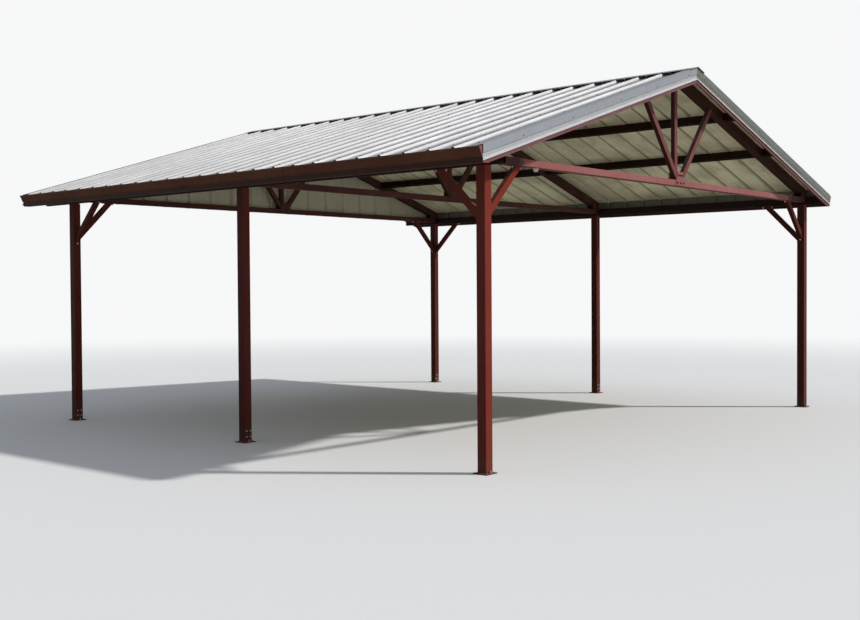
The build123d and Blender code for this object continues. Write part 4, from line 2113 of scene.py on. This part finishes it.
@dataclass
class Gutters(SubAssembly):
    """Gutters with the straps inside and the sleeves over their joints."""

    strap_pitch: float = 0.66
    strap_width: float = 0.024
    strap_thick: float = 0.0014
    strap_drop: float = 0.021
    wall: float = 0.0012
    sleeve_places: tuple[float, float] = (-1.15, 1.55)
    sleeve_width: float = 0.034
    sleeve_thick: float = 0.0008

    def build(self) -> None:
        """Dress the gutters, then add straps and sleeves."""
        self.dress_nodes(GUTTER_PAINT, [f"gutter_{side.word}" for side in Side])
        low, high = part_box("gutter_right")
        straps, sleeves = Shape(), Shape()
        for side in Side:
            count = int(2 * self.survey.edge / self.strap_pitch)
            for number in range(count):
                y = (number + 0.5 - count / 2) * self.strap_pitch
                straps.add(self.band(side, y, self.strap_width, self.strap(low, high)))
            for y in self.sleeve_places:
                sleeves.add(self.band(side, y, self.sleeve_width, self.sleeve(low)))
        straps.piece("gutter_straps", BOLT_ZINC, Slot.GUTTER)
        sleeves.piece("gutter_sleeves", GUTTER_PAINT, Slot.GUTTER, 20.0)

    def band(self, side: Side, y: float, width: float, section: Sequence[Point]) -> Shape:
        """Set a band across a gutter.

        Args:
            side: Which gutter.
            y: Its middle along the gutter.
            width: Its width along the gutter.
            section: Its outline on the right side, outward and up.

        Returns:
            The band.
        """
        outline = [(side.value * x, z) for x, z in section]
        turn = turn_to(Vector((1, 0, 0)), Vector((0, 0, 1)), Vector((0, -1, 0)))
        middles = [Vector((0.0, y + way * width / 2, 0.0)) for way in BOTH_WAYS]
        return Shape.swept(outline, [Matrix.Translation(middle) @ turn for middle in middles])

    def strap(self, low: Vector, high: Vector) -> list[Point]:
        """Bend a strap from the back of the right gutter to its lip.

        Args:
            low: Lowest corner of the gutter's box.
            high: Its highest corner.

        Returns:
            Outline of the strap.
        """
        back, front = low.x + self.wall, high.x - self.wall
        height = high.z - self.strap_drop
        chain = [
            (back, height - 0.016),
            (back + 0.003, height),
            (front - 0.016, height),
            (front - 0.006, height + 0.004),
        ]
        return skin(chain, 0.0, self.strap_thick)

    def sleeve(self, low: Vector) -> list[Point]:
        """Wrap a joint sleeve under the right gutter and up its stepped face.

        Args:
            low: Lowest corner of the gutter's box.

        Returns:
            Outline of the sleeve.
        """
        back, floor = low.x, low.z
        chain = [
            (back + 0.004, floor),
            (back + 0.086, floor),
            (back + 0.086, floor + 0.05005),
            (back + 0.09875, floor + 0.0572),
            (back + 0.1316, floor + 0.1252),
        ]
        return skin(chain, -LAP_GAP, -self.sleeve_thick)


@dataclass
class WallSheets(SubAssembly):
    """Rear gable sheet and side closures, with their screws."""

    gable_rib_pitch: float = 0.390
    gable_gap: float = 0.0005
    gable_end: float = 0.06
    half_ribs: int = 9
    beside_rib: float = 0.055
    tie_drop: float = 0.034
    rake_drop: float = 0.055
    least_rise: float = 0.05
    truss_clear: float = 0.02
    closure_drop: float = 0.020
    screw: SheetScrew = SheetScrew(seal=0.0085, seal_thick=0.0018, flange=0.0072)

    def build(self) -> None:
        """Dress the sheets, then screw them to the truss and the beams."""
        self.dress_nodes(WALL_ZINC, ["rear_gable_sheet"])
        self.dress_nodes(SHADE_DARKENED_CLOSURE_ZINC, [f"side_closure_{side.word}" for side in Side])
        self.screw.set_out(self.gable_places() + self.closure_places(), "wall", Slot.WALL)

    def gable_places(self) -> list[Matrix]:
        """Screws along the tie and just under the sheets, beside every rib of the gable.

        Returns:
            A matrix for each screw.
        """
        s = self.survey
        y = s.rows[Row.REAR] + s.plate_face + self.gable_gap + s.sheet
        made = []
        for number in range(-self.half_ribs, self.half_ribs):
            for way in BOTH_WAYS:
                x = (number + 0.5) * self.gable_rib_pitch + way * self.beside_rib
                if abs(x) > s.half_span - self.gable_end:
                    continue
                made.append(seat((x, y, s.beam_top - self.tie_drop), (0, 1, 0), 7.0 * x))
                upper = s.sheet_z(x) - self.rake_drop
                if upper > s.beam_top + self.least_rise:
                    made.append(seat((x, y, upper), (0, 1, 0), 5.0 * x))
        return made

    def closure_places(self) -> list[Matrix]:
        """Screws along the side beams, one in each pan of the closures.

        Returns:
            A matrix for each screw.
        """
        s = self.survey
        made = []
        for side in Side:
            x = side.value * (s.beam_outer + s.sheet)
            for y in s.ribs()[:-1]:
                spot = y + s.rib_pitch / 2
                if min(abs(spot - row) for row in s.rows.values()) > s.tie_half + self.truss_clear:
                    point = (x, spot, s.beam_top - self.closure_drop)
                    made.append(seat(point, (side.value, 0, 0), 9.0 * y))
        return made


@dataclass
class Lamp(SubAssembly):
    """Small white dome under the front tie, with its base ring."""

    ring: float = 0.0285
    ring_height: float = 0.008

    def build(self) -> None:
        """Dress the dome and add the ring that holds it."""
        self.dress_nodes(LAMP_SHELL, ["dome_lamp"])
        low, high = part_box("dome_lamp")
        middle = (low + high) / 2
        wide, top = self.ring, self.ring_height
        rings = [(wide * 0.94, 0.0), (wide, 0.0015), (wide, top - 0.002), (wide * 0.95, top)]
        ring = Shape.turned(rings, 32).moved(seat((middle.x, middle.y, high.z), (0, 0, -1)))
        ring.piece("lamp_base_ring", LAMP_SHELL, Slot.LAMP)


# ---------------------------------------------------------------- studio and camera


@dataclass(frozen=True)
class Studio:
    """Pale floor and backdrop, one soft sun and an even fill."""

    floor_radius: float = 60.0
    floor_drop: float = 0.0005
    sun_way: tuple[float, float, float] = (0.426, -0.568, 0.704)
    sun_strength: float = 2.2
    sun_colour: Colour = (1.0, 0.975, 0.94)
    sun_spread: float = math.radians(2.5)
    level_fill: Colour = (0.09, 0.093, 0.10)
    upper_fill: Colour = (0.40, 0.43, 0.48)
    mirrored_low: Colour = (0.24, 0.255, 0.28)
    mirrored_high: Colour = (0.62, 0.64, 0.67)
    fill_range: Range = (0.1, 0.9)
    mirror_range: Range = (0.5, 0.9)
    backdrop: Colour = (0.93, 0.935, 0.94)

    def build(self) -> None:
        """Make the floor, the sun and the world, and set the view transform."""
        self.floor()
        self.sun()
        self.world()
        bpy.context.scene.view_settings.view_transform = "Standard"

    def floor(self) -> None:
        """Lay a round floor under the feet."""
        bm = bmesh.new()
        bmesh.ops.create_circle(bm, cap_ends=True, segments=96, radius=self.floor_radius)
        mesh = bpy.data.meshes.new("studio_floor")
        bm.to_mesh(mesh)
        bm.free()
        floor = bpy.data.objects.new("studio_floor", mesh)
        floor.location = (0.0, 0.0, -self.floor_drop)
        bpy.context.scene.collection.objects.link(floor)
        FLOOR_FINISH.dress(floor)

    def sun(self) -> None:
        """Hang the sun so that it shines from its way."""
        light = bpy.data.lights.new("studio_sun", "SUN")
        light.energy = self.sun_strength
        light.angle = self.sun_spread
        light.color = self.sun_colour
        sun = bpy.data.objects.new("studio_sun", light)
        sun.rotation_mode = "QUATERNION"
        sun.rotation_quaternion = Vector(self.sun_way).to_track_quat("Z", "Y")
        bpy.context.scene.collection.objects.link(sun)

    def world(self) -> None:
        """Fill more from above than from the sides, and show the backdrop to the camera."""
        world = bpy.data.worlds.new("studio_world")
        bpy.context.scene.world = world
        world.use_nodes = True
        world.node_tree.nodes.clear()
        w = Wiring(world.node_tree)
        path = w.node("LightPath").outputs
        height = w.axes(w.node("TexCoord").outputs["Generated"])["Z"]
        soft = w.mix(w.between(height, *self.fill_range), self.level_fill, self.upper_fill)
        mirrored = w.mix(w.between(height, *self.mirror_range), self.mirrored_low, self.mirrored_high)
        lit = w.mix(path["Is Glossy Ray"], soft, mirrored)
        fill = w.node("Background", {"Color": lit, "Strength": 1.0})
        back = w.node("Background", {"Color": self.backdrop, "Strength": 1.0})
        both = w.node("MixShader", {0: path["Is Camera Ray"], 1: fill.outputs[0], 2: back.outputs[0]})
        w.node("OutputWorld", {"Surface": both.outputs[0]})


@dataclass(frozen=True)
class PhotoCamera:
    """The camera at the photograph's angle."""

    place: tuple[float, float, float] = (-11.79762, -9.99831, 1.7382)
    yaw: float = 0.85918
    pitch: float = -0.02162
    roll: float = -0.00623
    focal_px: float = 1126.55
    image_width: float = 860.0
    sensor: float = 36.0

    def build(self) -> None:
        """Make the camera, turn it and set it as the scene's own."""
        data = bpy.data.cameras.new("photo_camera")
        data.sensor_width = self.sensor
        data.lens = self.focal_px * self.sensor / self.image_width
        data.clip_end = 300.0
        camera = bpy.data.objects.new("photo_camera", data)
        bpy.context.scene.collection.objects.link(camera)
        level = Vector((math.sin(self.yaw), math.cos(self.yaw), 0.0))
        forward = level * math.cos(self.pitch) + Vector((0.0, 0.0, math.sin(self.pitch)))
        right = Vector((math.cos(self.yaw), -math.sin(self.yaw), 0.0))
        up = Vector((0.0, 0.0, math.cos(self.pitch))) - level * math.sin(self.pitch)
        across = right * math.cos(self.roll) + up * math.sin(self.roll)
        upright = up * math.cos(self.roll) - right * math.sin(self.roll)
        turn = turn_to(across, upright, -forward)
        camera.matrix_world = Matrix.Translation(Vector(self.place)) @ turn
        bpy.context.scene.camera = camera


# ---------------------------------------------------------------- the whole


@dataclass
class Carport:
    """The whole object, built one sub-assembly after another."""

    survey: Survey

    def build(self) -> None:
        """Build every sub-assembly in order and report it."""
        steel = (Posts, Trusses, KneeBraces, RoofFrame)
        cover = (RoofSheets, RidgeCap, RakeTrims, Gutters, WallSheets, Lamp)
        for part in steel + cover:
            part(self.survey).build()
            log.info("%s done", part.__name__)


def main() -> None:
    """Build the carport, the studio and the camera."""
    logging.basicConfig(level=logging.INFO, format="%(message)s")
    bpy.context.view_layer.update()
    PhotoCamera().build()
    Carport(Survey.take()).build()
    Studio().build()


if __name__ == "__main__":
    main()
